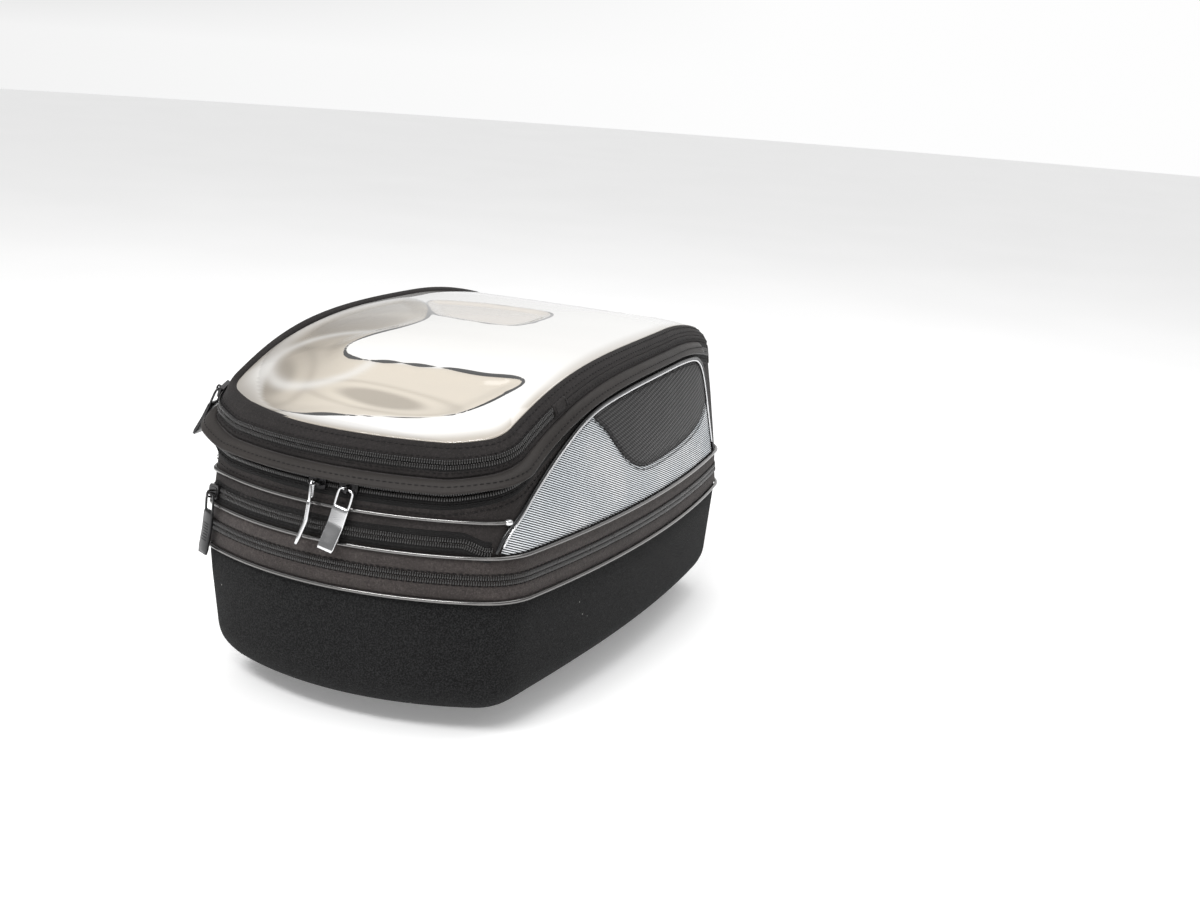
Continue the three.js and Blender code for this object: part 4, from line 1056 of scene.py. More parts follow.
def strip(name, line, span, low, high, narrow=True, steps=90):
    """A flat tape along a line on the wall, from low to high beside it."""
    edge, face, back = 0.14, 0.35, -0.36

    def section(t):
        inset, z = line(t)
        lean = WALL_LEAN if z > WAIST_SEAM_Z else 0.08
        corners = ((low, edge), (lerp(low, high, 0.15), face), (lerp(low, high, 0.85), face),
                   (high, edge), (high, back), (low, back))
        return [(inset - out + lean * up, z + up) for up, out in corners]
    return band(name, spread(*span, steps), section, TAPE, narrow)


# Pocket zip on the rear wall
POCKET_SPAN = (-rear_place(31.6), rear_place(31.6))


def pocket_z(t):
    return POCKET_ZIP_Z - 4.5 * smooth(abs(t), rear_place(26), rear_place(31))


pocket_line = wall_line(pocket_z)
put(strip("pocket_tape_lower", pocket_line, POCKET_SPAN, -5.6, -0.4), "upper_body")
put(strip("pocket_tape_upper", pocket_line, POCKET_SPAN, 0.4, 6.0), "upper_body")
zip_coils("pocket", pocket_line, POCKET_SPAN, ("upper_body", "upper_body"))
for label, up in (("lower", -4.4), ("upper", 4.6)):
    put(seam(f"pocket_stitches_{label}", wall_line(pocket_z, up), POCKET_SPAN, 0.45), "upper_body")


def lining_section(t):
    wave = puff(t, 120, 0.5)
    low, middle, high = WAIST_SEAM_Z + 2, 124, REAR_PIPING_Z + 4
    return [(12.6 + wave, low), (14.4 + wave, middle), (15.4, high),
            (15.7, high), (14.7 + wave, middle), (12.9 + wave, low)]


put(band("pocket_lining_cloth", spread(*POCKET_SPAN, 70), lining_section, LINING),
    "upper_body", "pocket_lining")

# Main zip
zip_end = place_at_y(MAIN_ZIP_END_Y, HEIGHT_LINE_INSET)
MAIN_SPAN = (-zip_end, zip_end)


def main_z(t):
    return lid_line(line_y(t))


main_line = wall_line(main_z)
put(strip("main_tape_lower", main_line, MAIN_SPAN, -7.5, -0.4, steps=180), "upper_body")
put(strip("main_tape_upper", main_line, MAIN_SPAN, 0.4, 5.6, narrow=False, steps=180), "lid")
zip_coils("main", main_line, MAIN_SPAN, ("upper_body", "lid"), narrow=False)
for label, up in (("lower", -5.0), ("lower_2", -10.0)):
    put(seam(f"main_stitches_{label}", wall_line(main_z, up), MAIN_SPAN, 0.55), "upper_body")


def hinge_strip_section(t):
    z = main_z(t)
    profile = ((-8, 0.15), (-7, 0.7), (-3, 0.9), (3, 0.9), (5, 0.7), (6, 0.15))
    return slab(0.5, [(wall_inset(z + up) - out, z + up) for up, out in profile])


hinge_strip = band("hinge_binding", spread(zip_end, 2 - zip_end, 70), hinge_strip_section, BINDING, False)
dress(hinge_strip)
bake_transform(hinge_strip)


# Lid: skirt, rain flap, border, window and backing
def skirt_section(t):
    y = line_y(t)
    return slab(3.3, [(wall_inset(z), z) for z in spread(lid_line(y) + 0.3, groove_line(y), 2)])


put(band("lid_skirt_cloth", LOOP, skirt_section, BALLISTIC, False),
    "lid", "lid_skirt")

flap_end = place_at_y(FLAP_END_Y, HEIGHT_LINE_INSET)


def flap_section(t):
    """From the groove, out over a soft bulge, down to the bound lip and back underneath."""
    y = line_y(t)
    side = smooth(y, RISE_START_Y, RISE_START_Y + 45)
    groove, lid = groove_line(y), lid_line(y)
    root_inset, root_z = wall_inset(groove) - 0.3, groove - 0.4
    lip_inset = lerp(1.1, wall_inset(lid) - 4.2, side)
    lip_z = lid + lerp(2.9, -1.2, side)
    bulge = lerp(1.5, 0.7, side) + puff(t, 150, 0.7)
    outer, inner = [], []
    for f in spread(0, 1, 8):
        arch = bulge * math.sin(math.pi * min(1, f * 1.05))
        outer.append((lerp(root_inset, lip_inset + 0.5, f) - arch * 0.6,
                      lerp(root_z, lip_z + 2.4, f) + arch * 0.75))
        inner.append((lerp(root_inset + 0.1, lip_inset + 1.6, f), lerp(root_z - 1.4, lip_z + 0.9, f)))
    lip = [(lip_inset + inward, lip_z + up)
           for inward, up in ((-0.1, 1.9), (-0.35, 1.2), (-0.1, 0.5), (0.6, 0.2))]
    return outer + lip + inner[::-1]


def flap_hem(t):
    inset, z = flap_section(t)[6]
    return inset - 0.05, z + 0.03


put(band("rain_flap_cloth", spread(-flap_end, flap_end, 190), flap_section, FLAP_CLOTH, False),
    "lid", "rain_flap")
put(seam("flap_hem_stitches", flap_hem, (-flap_end, flap_end), 0.1, False), "lid")


def border_slab(t, fractions, lifts):
    """The border's closed section, lifted at each fraction and flat underneath."""
    outer = [border_point(t, f, lift) for f, lift in zip(fractions, lifts)]
    return outer + [border_point(t, f, -BORDER_THICKNESS) for f in reversed(fractions)]


LOWER_TOP = MAP_ZIP_FRACTION - 0.03
UPPER_LOW = MAP_ZIP_FRACTION + 0.03
map_end = place_at_y(MAP_ZIP_END_Y, HEIGHT_LINE_INSET)
MAP_SPAN = (-map_end, map_end)
BORDER_THICKNESS = 3.2


def fold_over(obj):
    """Bake a piece of the map pocket's front into its mesh at its placement."""
    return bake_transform(obj)


def lower_border_section(t):
    fractions = [*spread(0, 0.3, 5), LOWER_TOP]
    return border_slab(t, fractions, [0.1 + puff(t, 155, 0.2)] * len(fractions))


def upper_border_section(t):
    y = line_y(t)
    low = lerp(UPPER_LOW, LOWER_TOP + 0.006, smooth(y, MAP_ZIP_END_Y - 1, MAP_ZIP_END_Y + 5))
    fractions = [lerp(low, 1, f) for f in (0, 0.12, 0.28, 0.45, 0.6, 0.75, 0.88, 0.96, 1)]
    uneven = puff(t, 160, 0.2)
    lifts = [0, *(lift + uneven for lift in (0.3, 0.5, 0.5, 0.45, 0.45, 0.6, 0.5)), -0.1]
    section = border_slab(t, fractions, lifts)
    roll = 3.2 * smooth(-point_at(t, 0, 0).x, 20, 95)
    rolled = [(inset, z + roll * smooth(f, 0.62, 0.9)) for (inset, z), f in zip(section, fractions)]
    return rolled + section[len(fractions):]


put(band("lid_border_cloth", LOOP, lower_border_section, BORDER_CLOTH, False),
    "lid", "lid_border")
upper_border = band("map_border_cloth", LOOP, upper_border_section, BORDER_CLOTH, False)
fold_over(dress(upper_border, "map_flap_border"))


def border_line(fraction, out=0.0):
    return lambda t: border_point(t, fraction, out)


def border_strip(name, low, high):
    """A zip tape along the lid's border, from low to high on it."""
    def section(t):
        corners = ((low, 0.1), (lerp(low, high, 0.15), 0.5), (lerp(low, high, 0.85), 0.5),
                   (high, 0.1), (high, -0.6), (low, -0.6))
        return [border_point(t, fraction, out) for fraction, out in corners]
    return band(name, spread(*MAP_SPAN, 120), section, TAPE, False)


map_line = border_line(MAP_ZIP_FRACTION)
put(border_strip("map_tape_lower", 0.20, MAP_ZIP_FRACTION - 0.012), "lid")
put(teeth("map_teeth_lower", map_line, MAP_SPAN, -1, False, 0.9), "lid", "map_coil_lower")
fold_over(border_strip("map_tape_upper", MAP_ZIP_FRACTION + 0.012, 0.56))
fold_over(seam("map_stitches_upper", border_line(0.60, 0.5), ALL_ROUND, 0.15, False))
fold_over(seam("rim_stitches", border_line(0.86, 0.65), ALL_ROUND, 0.15, False))
map_teeth = teeth("map_teeth_upper", map_line, MAP_SPAN, 1, False, 0.9)
fold_over(dress(map_teeth, "map_coil_upper"))
put(seam("map_stitches_lower", border_line(0.16, 0.35), ALL_ROUND, 0.15, False), "lid")


def zip_tab(name, sign):
    """A square fabric garage over the zip's end, and the bar tacks at its two edges."""
    start, end = (sign * place_at_y(MAP_ZIP_END_Y + ahead, HEIGHT_LINE_INSET) for ahead in (1.6, 14.5))
    corners = ((0.15, 0.4), (0.2, 1.6), (0.38, 2.1), (0.56, 1.6),
               (0.6, 0.7), (0.56, 0.2), (0.38, 0.8), (0.2, 0.2))
    tab = band(name, spread(start, end, 10), lambda t: [border_point(t, *corner) for corner in corners],
               BORDER_CLOTH, False)
    tacks = []
    for label, share in (("0_1", 0.1), ("0_9", 0.9)):
        t = lerp(start, end, share)
        directions = wall_frame(border_line(0.38), t, False)[1:]
        frames = [(point_at(t, *border_point(t, lerp(0.22, 0.54, (k + 0.5) / 4), 2.1)), *directions)
                  for k in range(4)]
        tacks.append(beads(f"{name}_bartack_{label}", frames, -0.9, 0.9, 0.25, THREAD))
    return [tab, *tacks]


for side, sign in (("right", 1), ("left", -1)):
    tab, *tacks = zip_tab(f"zip_tab_{side}", sign)
    put(tab, "lid", f"map_zip_tab_{side}")
    for tack in tacks:
        put(tack, "lid")


# The clear window is a shallow dome with two sunken pools and a fold along its rear edge; the fold's dark
# line, the film's white reflection and the shading in its pools are painted
POOL_FRONT = [(-70, 35), (-40, 42), (0, 46), (25, 46), (33, 30), (32, -8), (20, -19), (-26, -19), (-40, -4)]
POOL_REAR = [(-85, 40), (-68, 30), (-46, 5), (-28, -24), (-28, -48), (-42, -74), (-48, -94), (-36, -106),
             (10, -102), (56, -97), (78, -92), (81, -102), (68, -130), (50, -144), (-10, -156), (-40, -163),
             (-64, -156), (-88, -128), (-99, -80), (-100, -25), (-94, 30)]
# The short creases are only painted dark lines, painted shade; the film's surface has no crease there.
FILM_CREASE_SHADE_LINES = [((-43, -12), (-41, 12)), ((-38, -20), (-36, 6)), ((-33, -24), (-30, -4))]


def inside_and_distance(x, y, outline_points):
    """For arrays of points: whether each lies in a closed outline, and how far it is from the line."""
    inside = np.zeros(len(x), bool)
    best = np.full(len(x), 1e9)
    for (x0, y0), (x1, y1) in zip(outline_points, outline_points[1:] + outline_points[:1]):
        if y0 != y1:
            inside ^= ((y0 > y) != (y1 > y)) & (x < (x1 - x0) * (y - y0) / (y1 - y0) + x0)
        dx, dy = x1 - x0, y1 - y0
        share = np.clip(((x - x0) * dx + (y - y0) * dy) / (dx * dx + dy * dy), 0, 1)
        best = np.minimum(best, np.hypot(x - x0 - share * dx, y - y0 - share * dy))
    return inside, best


def corners_cut(points, closed):
    """A line of Vectors with its corners cut off twice; an open line keeps its ends."""
    for _ in range(2):
        following = points[1:] + (points[:1] if closed else [])
        cut = []
        for a, b in zip(points, following):
            cut += [a.lerp(b, 0.25), a.lerp(b, 0.75)]
        points = cut if closed else [points[0], *cut, points[-1]]
    return points


FRONT_LINE = corners_cut([Vector(point) for point in POOL_FRONT], closed=True)
REAR_LINE = corners_cut([Vector(point) for point in POOL_REAR], closed=True)


def oval(x, y, cx, cy, rx, ry, turn=0.0):
    c, s = math.cos(turn), math.sin(turn)
    dx, dy = x - cx, y - cy
    return math.hypot((dx * c + dy * s) / rx, (dy * c - dx * s) / ry)


def segment_distance(x, y, start, end):
    dx, dy = end[0] - start[0], end[1] - start[1]
    share = max(0.0, min(1.0, ((x - start[0]) * dx + (y - start[1]) * dy) / (dx * dx + dy * dy)))
    return math.hypot(x - start[0] - share * dx, y - start[1] - share * dy)


def film_painted_fold_line(x, y, in_front, d_front, in_rear, d_rear):
    """How far, in mm, a point of the film is outside the nearest painted dark fold line, painted shade along
    a fold; negative within it.
    """
    # The lines are painted shade along the pools' edges and along three small creases that the film's surface
    # does not have.
    nearest = 5.0
    if d_rear < 8 and (x > -56 or y > -40):
        ridge = smooth(x, -50, -34) * (1 - smooth(x, 66, 82)) * (y > -112)
        broken = abs(math.sin(x / 12.5 + 1.4 * math.sin(x / 21)))
        half = 0.3 + 1.5 * ridge * broken ** 1.5
        half += 1.5 * math.exp(-((x + 20) / 13) ** 2) * (y < -140) + 0.6 * math.exp(-((x - 74) / 9) ** 2)
        offset = (0.7 * ridge + 0.2) * math.sin(x / 17 + 1.0)
        signed = -d_rear if in_rear else d_rear
        nearest = min(nearest, abs(signed - offset) - half)
    if d_front < 8:
        signed = -d_front if in_front else d_front
        half = 0.3 + 0.75 * (y < 8) * math.sin(x / 6.5) ** 2 + 0.7 * smooth(x, 14, 30) * (y > 0)
        nearest = min(nearest, abs(signed - 0.5 * math.sin(x / 8)) - half)
    if -60 < x < -15 and -40 < y < 30:
        nearest = min([nearest] + [segment_distance(x, y, *crease) - 0.28 for crease in FILM_CREASE_SHADE_LINES])
    return nearest


# Film colours: the white is a painted reflection; the tan and the rim colour are painted shade.
FILM_REFLECTION_WHITE = (0.84, 0.83, 0.81)
FILM_PALE = (0.80, 0.75, 0.69)
FILM_BEIGE = (0.72, 0.655, 0.56)
FILM_SHADE_TAN = (0.29, 0.252, 0.20)
FILM_RIM_SHADE = (0.40, 0.35, 0.285)


def tinted(colour, other, share):
    return tuple(lerp(a, b, share) for a, b in zip(colour, other))


def film_look(x, y, in_front, d_front, in_rear, d_rear, to_rim):
    """(sag in mm, colour, opacity) of the film at a point; the light and dark zones are painted: the white is
    a painted reflection, the tan towards the left, the ovals and the darkening at the rim are painted shade,
    and the gleam is a painted highlight.
    """
    # Outside the pools the film carries the painted white reflection.
    sag, colour, cover = 0.0, FILM_REFLECTION_WHITE, 0.93
    if in_front:
        sag = 1.6 * smooth(d_front, 0, 9)
        colour, cover = FILM_PALE, 0.76
    if in_rear:
        sag = 1.8 * smooth(d_rear, 0, 14)
        # Painted shade: the beige darkens to tan towards the left.
        far_shade = smooth(-x, 10, 90)
        beige = tinted(FILM_BEIGE, FILM_SHADE_TAN, far_shade * 0.8)
        sway = 3 * math.sin(x / 17) + 2 * math.sin(y / 11)
        rear_oval = oval(x, y + sway * 0.4, 6, -134, 34, 8)
        left_oval = oval(x + sway, y, -64, -52, 22, 34, -0.5)
        corner_oval = oval(x, y + sway, -74, -128, 16, 26, 0.5)
        # Painted shade: darker ovals, each with a darker ring round it.
        for ring, depth in ((rear_oval, 0.55), (left_oval, 0.5), (corner_oval, 0.6)):
            shade = depth * (1 - smooth(ring, 0.65, 1.1)) + 0.25 * math.exp(-((ring - 1.5) / 0.17) ** 2)
            beige = tinted(beige, scaled(FILM_SHADE_TAN, 0.75), shade)
        # Painted highlight: a pale ring of gleam in the rear pool.
        gleam = math.exp(-((oval(x, y, -50, -100, 40, 30, 0.9) - 1) / 0.13) ** 2)
        beige = tinted(beige, FILM_REFLECTION_WHITE, 0.6 * gleam)
        # The painted white reflection fades into the beige inside the rear pool.
        inward = smooth(d_rear, 0, lerp(1.2, 14, smooth(-x, 60, 90)))
        colour, cover = tinted(FILM_REFLECTION_WHITE, beige, inward), 0.74
    # Painted shade: the film darkens near its rim at the rear and right, widest and darkest at the left rear.
    left = smooth(-x, 30, 80) * smooth(-y, 30, 110)
    edge = (1 - smooth(to_rim, 1, 12 + 18 * left)) * max(smooth(-y, 40, 120), 0.7 * smooth(x, 62, 92))
    return sag, tinted(colour, scaled(FILM_RIM_SHADE, 1 - 0.45 * left), 0.85 * edge), cover


def window_inset(t):
    return wall_inset(groove_line(line_y(t))) + BORDER_INSET - 0.6


def dome_point(t, scale, inset, dome, drop):
    p = point_at(t, inset, 0)
    y = line_y(t) * scale
    return Vector((p.x * scale, p.y * scale, rim_line(y) - drop + dome * (1 - scale * scale)))


def polar_points(inset_at, dome, drop, places, rings):
    """Rings of points round the Z axis on a dome, then one point in the middle."""
    edge = [(t, inset_at(t)) for t in places]
    points = [dome_point(t, 1 - r / rings, inset, dome, drop) for r in range(rings) for t, inset in edge]
    return points + [Vector((0, 0, rim_line(0) - drop + dome))]


def polar_sheet(name, points, count, rings, material):
    faces = []
    for r in range(rings - 1):
        for i in range(count):
            j = (i + 1) % count
            a, b = r * count, (r + 1) * count
            faces.append((a + i, a + j, b + j, b + i))
    last = (rings - 1) * count
    for i in range(count):
        faces.append((last + i, last + (i + 1) % count, len(points) - 1))
    return mesh_from(name, points, faces, material)


def window_film(count=460, rings=120):
    """The film sags into its pools; its painted reflection, painted shade and painted dark fold lines are
    kept in two attributes that clear_film() reads.
    """
    points = polar_points(window_inset, 5.0, -0.3, spread(*ALL_ROUND, count)[:-1], rings)
    x, y = (np.array([point[axis] for point in points]) for axis in (0, 1))
    ring = np.append(np.repeat(np.arange(rings), count), rings)
    to_rim = np.hypot(x, y) * ring / np.maximum(1, rings - ring)
    wobble = np.array([1.6 * noise.noise(Vector((a / 30, b / 30, 1.0))) for a, b in zip(x, y)])
    pools = (*inside_and_distance(x, y + wobble * 0.5, FRONT_LINE),
             *inside_and_distance(x, y + wobble, REAR_LINE))
    looks = [film_look(*measure) for measure in zip(x, y, *pools, to_rim)]
    folds = [film_painted_fold_line(*measure) for measure in zip(x, y, *pools)]
    for point, (sag, _, _) in zip(points, looks):
        point.z -= sag
    film = polar_sheet("window_film", points, count, rings, FILM)
    # The painted reflection and painted shade, as colour and opacity per point.
    shade = film.data.color_attributes.new("film_painted_light", "FLOAT_COLOR", "POINT")
    shade.data.foreach_set("color", [value for _, colour, cover in looks for value in (*colour, cover)])
    fold = film.data.attributes.new("film_painted_fold_line", "FLOAT", "POINT")
    fold.data.foreach_set("value", folds)
    thickened(film, 0.8)
    with bpy.context.temp_override(active_object=film, object=film):
        bpy.ops.object.modifier_apply(modifier="thickness")
    return film


window = window_film()
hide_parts("map_window_front", "map_window_rear")
fold_over(window)


def lid_board(count=200, rings=26):
    """The light board that shows through the film."""
    points = polar_points(lambda t: window_inset(t) + 4.1, 3.0, 9.0, spread(*ALL_ROUND, count)[:-1], rings)
    return thickened(polar_sheet("lid_backing_board", points, count, rings, BACKING), 3.3)


put(lid_board(), "lid", "lid_board")


# ---------------------------------------------------------------- sliders and pullers

COIL_OUT = 1.3
PLATE_INNER = COIL_OUT + 0.9
PLATE_OUTER = PLATE_INNER + 1.6


def frame_matrix(position, z_turn, x_turn, y_turn=0.0):
    """Turns in the order Y, X, Z, then a move."""
    turn = Matrix.Rotation(z_turn, 4, "Z") @ Matrix.Rotation(x_turn, 4, "X") @ Matrix.Rotation(y_turn, 4, "Y")
    return Matrix.Translation(position) @ turn


def arc_place(centre_y, radius, turn, z, lean):
    position = Vector((math.sin(turn) * radius, -math.cos(turn) * radius + centre_y, z))
    return frame_matrix(position, turn, -lean), turn


def map_place():
    """Where the map slider stands on the border, with its tail pointing forward."""
    def at(place, fraction):
        return point_at(place, *border_point(place, fraction))

    t = -place_at_y(-137, HEIGHT_LINE_INSET)
    ahead = -place_at_y(-115, HEIGHT_LINE_INSET)
    position = at(t, MAP_ZIP_FRACTION)
    backward = (position - at(ahead, MAP_ZIP_FRACTION)).normalized()
    up = at(t, MAP_ZIP_FRACTION + 0.1) - at(t, MAP_ZIP_FRACTION - 0.1)
    inward = up.cross(backward).normalized()
    turn = Matrix((backward, inward, backward.cross(inward))).transposed().to_4x4()
    nx, ny = outline(t)[3:]
    return Matrix.Translation(position) @ turn, math.atan2(nx, -ny)


def moved(obj, matrix):
    """Apply a placement given in millimetres."""
    metres = matrix.copy()
    metres.translation = matrix.translation * MM
    obj.data.transform(metres)
    return obj


def softened(obj, width, segments=2, angle=30):
    bevel = obj.modifiers.new("bevel", "BEVEL")
    bevel.width = width * MM
    bevel.segments = segments
    bevel.limit_method = "ANGLE"
    bevel.angle_limit = math.radians(angle)
    return obj


def extruded(name, face, low, high):
    """A flat plate of slider metal with a closed outline, from low to high outwards."""
    count = len(face)
    points = [Vector((a, -depth, b)) for depth in (low, high) for a, b in face]
    faces = [tuple(reversed(range(count))), tuple(range(count, 2 * count))]
    faces += [(i, (i + 1) % count, count + (i + 1) % count, count + i) for i in range(count)]
    made = mesh_from(name, points, faces, SLIDER, smooth_faces=False)
    outward(made)
    return made


def mirrored(half):
    """Half an outline of (a, b) points, then its mirror image."""
    return half + [(a, -b) for a, b in reversed(half)]


def slider_body(name, along):
    """Wedge plate with a raised spine, side flanges and a hook bridge."""
    face = mirrored([(-5.6, -1.8), (-4.4, -3.5), (1, -4.2), (4.9, -4.2), (5.7, -2.7)])
    plate = extruded(f"{name}_plate", face, PLATE_INNER, PLATE_OUTER)
    spine_face = [(a * 0.72, b * 0.6) for a, b in face]
    spine = extruded(f"{name}_spine", spine_face, PLATE_OUTER - 0.2, PLATE_OUTER + 0.25)
    flanges = []
    for s in (1, -1):
        rim = [(-4.2, s * 3.2), (-4.2, s * 3.6), (1, s * 4.2), (4.7, s * 4.2), (4.7, s * 3.7), (1, s * 3.7)]
        flanges.append(extruded(f"{name}_flange_{s}", rim, 1.15, PLATE_INNER + 0.1))
    if along:
        profile = mirrored([(-0.2, 3.6), (2.2, 3.6), (3.4, 3.3), (3.9, 2.2)])
        path = [Vector((b, -PLATE_OUTER - o, -1.4)) for o, b in profile]
        out = Vector((0, 0, 1))
    else:
        profile = [(-0.2, 0.2), (1.6, 0.2), (2.7, 0.0), (3.3, -0.8),
                   (3.3, -2.9), (2.7, -3.6), (1.8, -3.75), (-0.2, -3.75)]
        path = [Vector((0, -PLATE_OUTER - o, b)) for o, b in profile]
        out = Vector((1, 0, 0))
    bridge = sweep(f"{name}_bridge", corners_cut(path, closed=False), rounded(0.95, 1.6, 0.35), SLIDER, out)
    return softened(joined(name, [plate, spine, *flanges, bridge]), 0.28)


def puller_body(name, length, width, material, bright):
    """An open ring on the bridge and a bevelled grip with a bend across it."""
    half = width / 2 - 0.55
    ring = [(half - 1.2, 0), (half, -1.4), (half, -10.2), (half - 0.6, -11)]
    path = [Vector((-x, 0, z)) for x, z in ring[:1]] + [Vector((x, 0, z)) for x, z in ring]
    path += [Vector((-x, 0, z)) for x, z in reversed(ring[1:])]
    loop = sweep(f"{name}_ring", corners_cut(path, closed=True), rounded(1.25, 1.15, 0.3), material,
                 Vector((0, 1, 0)), closed=True)
    bend = 14 if bright else 4
    steps = 16
    step = (length - 10.5) / steps
    z, y = -10.0, 0.0
    centres, rows = [], []
    for f in spread(0, 1, steps):
        if f < 0.06:
            taper = min(1.0, 0.86 + 2.4 * f)
        else:
            taper = 1.0 - 1.4 * max(0.0, f - 0.93)
        lean = math.radians(3 + bend * smooth(f, 0.40, 0.46))
        centre = Vector((0, y, z))
        across = Vector((0, math.cos(lean), -math.sin(lean)))
        thick = 2.1 if taper > 0.99 else 1.7
        section = rounded(width * taper, thick, 0.5, 2)
        rows.append([centre + Vector((a, 0, 0)) + across * b for a, b in section])
        centres.append(centre)
        z -= step * math.cos(lean)
        y -= step * math.sin(lean)
    parts = [loop, grid(f"{name}_grip", rows, material, loop_columns=True, caps=True)]
    if not bright:
        ridges = [(centre + Vector((0, -1.05, 0)), Vector((0, 0, 1)), Vector((1, 0, 0)), Vector((0, -1, 0)))
                  for centre in centres[5:12]]
        parts.append(beads(f"{name}_ridges", ridges, -width * 0.34, width * 0.34, 0.42, material))
    return joined(name, parts)


def add_slider(name, place, tilt, length=37, width=10, sideways=0, edge_on=None, bright=False):
    """A slider and its puller; edge_on turns the puller's ring on a bridge that runs along the zip."""
    matrix, turn = place
    along = edge_on is not None
    pivot_out, pivot_up = (3.9, -1.4) if along else (1.5, -1.75)
    body = moved(slider_body(f"{name}_slider_body", along), matrix)
    put(body, f"{name}_slide", f"{name}_slider")
    pivot = matrix @ Vector((0, -PLATE_OUTER - pivot_out, pivot_up))
    pull = puller_body(f"{name}_pull", length, width, CHROME if bright else PULL_BLACK, bright)
    if along:
        shift = Matrix.Translation(Vector((width / 2 - 3.4, 0, 1.9)))
        moved(pull, Matrix.Rotation(-math.radians(edge_on), 4, "Z") @ shift)
    moved(pull, frame_matrix(pivot, turn, -math.radians(tilt), math.radians(sideways)))
    put(pull, f"{name}_pull", f"{name}_puller")


UPPER_LEAN = math.atan(WALL_LEAN)
BAND_LEAN = math.atan((WAIST_INSET - BASE_INSET) / (WAIST_SEAM_Z - BASE_SEAM_Z))


def on_rear(degrees, z):
    return arc_place(0, REAR_RADIUS - wall_inset(z), math.radians(degrees), z, UPPER_LEAN)


def on_front(degrees, z):
    turn = math.radians(180 + degrees)
    return arc_place(FRONT_CENTRE_Y, FRONT_RADIUS - wall_inset(z), turn, z, BAND_LEAN)


add_slider("main_right", on_rear(6.4, LID_REAR_Z), tilt=6.8, sideways=13, bright=True)
add_slider("main_left", on_rear(0.3, LID_REAR_Z), tilt=8.5, edge_on=66, bright=True)
add_slider("pocket", on_rear(-25.5, POCKET_ZIP_Z), tilt=3.5)
add_slider("expansion", on_front(-8, EXPANSION_ZIP_Z), tilt=4, length=30, width=9)
add_slider("map", map_place(), tilt=24, length=34)


# ---------------------------------------------------------------- latch spring


def latch_spring(turns=5, steps=24, coil_radius=2.1, wire_radius=0.4):
    """A wire helix as long as the CAD spring."""
    low, high = (Vector(corner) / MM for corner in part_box("latch_spring"))
    angles = spread(0, 2 * math.pi * turns, turns * steps)
    outs = [Vector((math.cos(angle), 0, math.sin(angle))) for angle in angles]
    path = []
    for out, y in zip(outs, spread(high.y - wire_radius, low.y + wire_radius, turns * steps)):
        path.append(Vector((0, y, (low.z + high.z) / 2)) + out * coil_radius)
    coil = sweep("latch_spring_coil", path, circle(wire_radius), STEEL, outs)
    put(coil, "base", "latch_spring")
    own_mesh(coil)


latch_spring()


# ---------------------------------------------------------------- carry handle

HANDLE_HALF_LENGTH = 62
HANDLE_Z = 133
HANDLE_BOW = 14.5
handle_matrix = frame_matrix(Vector((0, FRONT_Y - (wall_inset(HANDLE_Z) - 0.3), HANDLE_Z)), 0, UPPER_LEAN)


def handle_y(x):
    """Where the strap's inner face runs: on the wall at its ends and bowed out between them."""
    bow = HANDLE_BOW * math.sin(math.pi / 2 * min(1, (HANDLE_HALF_LENGTH - abs(x)) / 26))
    return math.sqrt(FRONT_RADIUS ** 2 - x * x) - FRONT_RADIUS + bow


def carry_strap():
    rows = []
    for x in spread(-HANDLE_HALF_LENGTH, HANDLE_HALF_LENGTH, 80):
        grip = smooth(44 - abs(x), 0, 8)
        section = rounded(lerp(24, 20, grip), lerp(2.2, 2.3, grip), 0.9)
        rows.append([handle_matrix @ Vector((x, handle_y(x) + 1.2 + b, 12 + a)) for a, b in section])
    return grid("carry_strap", rows, WEBBING, loop_columns=True, caps=True)


def handle_stitches():
    """Two upright rows of stitches at each end of the strap."""
    directions = (Vector((1, 0, 0)), Vector((0, 0, 1)), Vector((0, 1, 0)))
    frames = [(handle_matrix @ Vector((x, handle_y(x) + 2.45, height)), *directions)
              for x in (-59, -52, 52, 59) for height in spread(2.5, 21.5, 8)]
    return beads("handle_stitches", frames, -0.9, 0.9, 0.28, THREAD)


put(carry_strap(), "upper_body", "carry_handle")
put(handle_stitches(), "upper_body")

# ---------------------------------------------------------------- carried-over hard parts

FINISH = {
    "base_board": FOAM, "adapter_plate": PLASTIC, "lock_ring": PLASTIC, "latch_bolt": PLASTIC,
    "latch_release_tab": RELEASE, **{f"adapter_screw_{i}": STEEL for i in (1, 2, 3, 4)},
}
for node, material in FINISH.items():
    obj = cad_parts[node]
    obj.data.materials.clear()
    obj.data.materials.append(material)
    for polygon in obj.data.polygons:
        polygon.use_smooth = False
    if node != "base_board":
        softened(obj, 0.35, angle=20)

# ---------------------------------------------------------------- studio

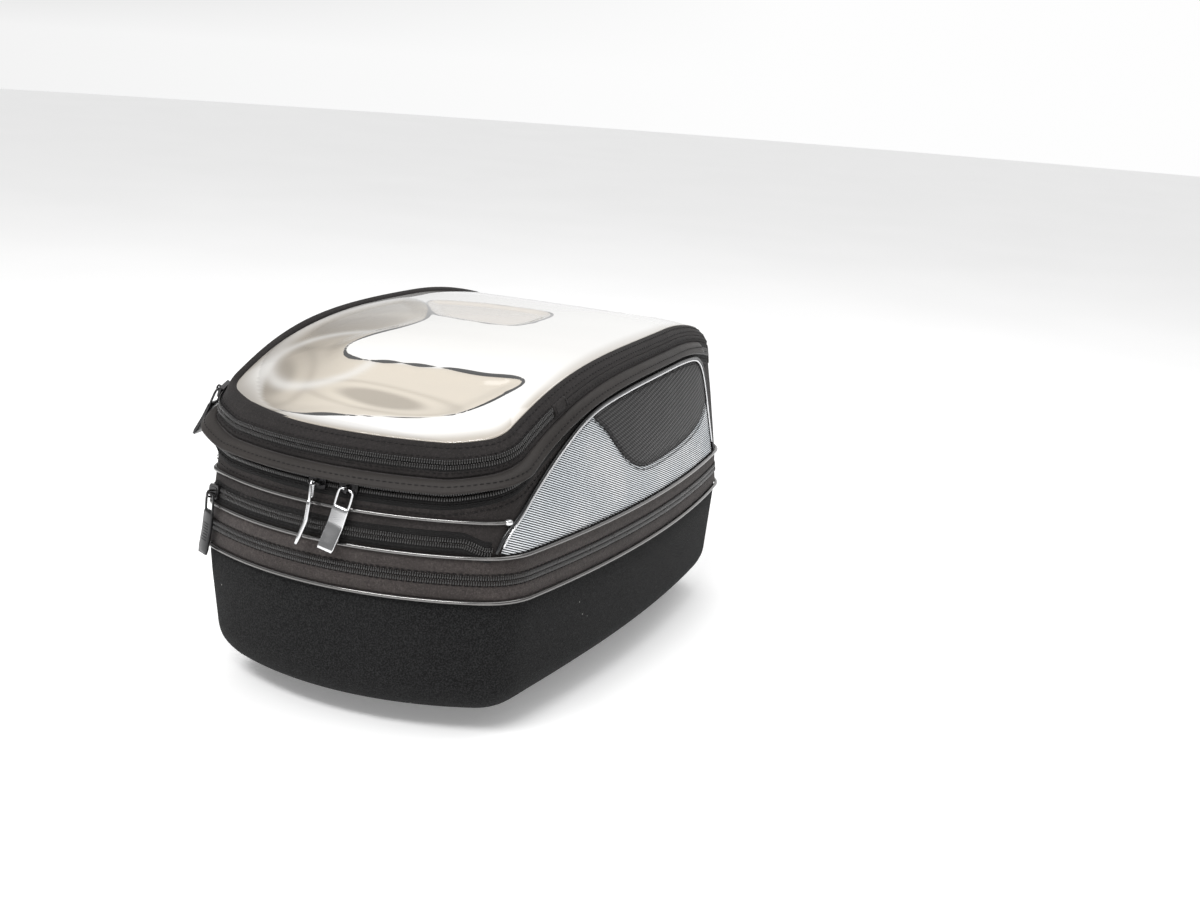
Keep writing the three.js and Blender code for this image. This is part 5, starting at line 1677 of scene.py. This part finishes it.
CAMERA_PLACE = (0.468, -0.8582, 0.3769)
CAMERA_HEADING = math.radians(23.893)
CAMERA_TILT = math.radians(-14.257)
CAMERA_ROLL = math.radians(4.215)

camera_data = bpy.data.cameras.new("camera")
camera_data.lens = 45
camera_data.sensor_width = 36
camera_data.clip_start = 0.01
camera = link(bpy.data.objects.new("camera", camera_data))
camera.matrix_world = (
    Matrix.Translation(CAMERA_PLACE) @ Matrix.Rotation(CAMERA_HEADING, 4, "Z")
    @ Matrix.Rotation(math.pi / 2 + CAMERA_TILT, 4, "X") @ Matrix.Rotation(CAMERA_ROLL, 4, "Z"))
bpy.context.scene.camera = camera
bpy.context.scene.view_settings.view_transform = "Standard"

# The sky's grey follows the height, and the part straight ahead of the bag is white
world = bpy.data.worlds.new("studio")
world.use_nodes = True
sky = Nodes(world.node_tree)
_, forward, height = sky.split("Generated")
levels = sky.ramp(height, [(0.0, 0.95), (0.08, 0.3), (0.42, 0.22), (0.7, 0.8)])
background = world.node_tree.nodes["Background"]
sky.put(background, "Color", sky.mix(sky.grey(forward, 0.0, 1.0, 0.55, 0.95), levels, (1.1, 1.1, 1.1)))
sky.put(background, "Strength", 0.9)
bpy.context.scene.world = world


def softbox(name, place, target, width, height, energy):
    data = bpy.data.lights.new(name, "AREA")
    data.shape = "RECTANGLE"
    data.size, data.size_y, data.energy = width, height, energy
    light = link(bpy.data.objects.new(name, data))
    light.location = place
    light.rotation_mode = "QUATERNION"
    light.rotation_quaternion = (Vector(target) - Vector(place)).to_track_quat("-Z", "Y")


softbox("key", (-0.05, -1.15, 1.35), (0, 0, 0.12), 1.15, 0.3, 18)
softbox("top", (0.2, 0.4, 1.7), (0, 0, 0.15), 1.6, 1.2, 11)
softbox("fill", (0.62, -0.72, 0.34), (0.1, -0.1, 0.14), 0.3, 0.3, 0.35)

s = Shader("studio_floor", Roughness=0.9, Emission_Color=(1, 1, 1, 1), Emission_Strength=0.22)
s.finish(s.patches(s.noise(3.0), (0.93, 0.93, 0.93), (0.96, 0.96, 0.96)))
floor = mesh_from("floor", [Vector((x, y, 0)) for x, y in circle(9000, 64)], [tuple(range(64))], s.material)
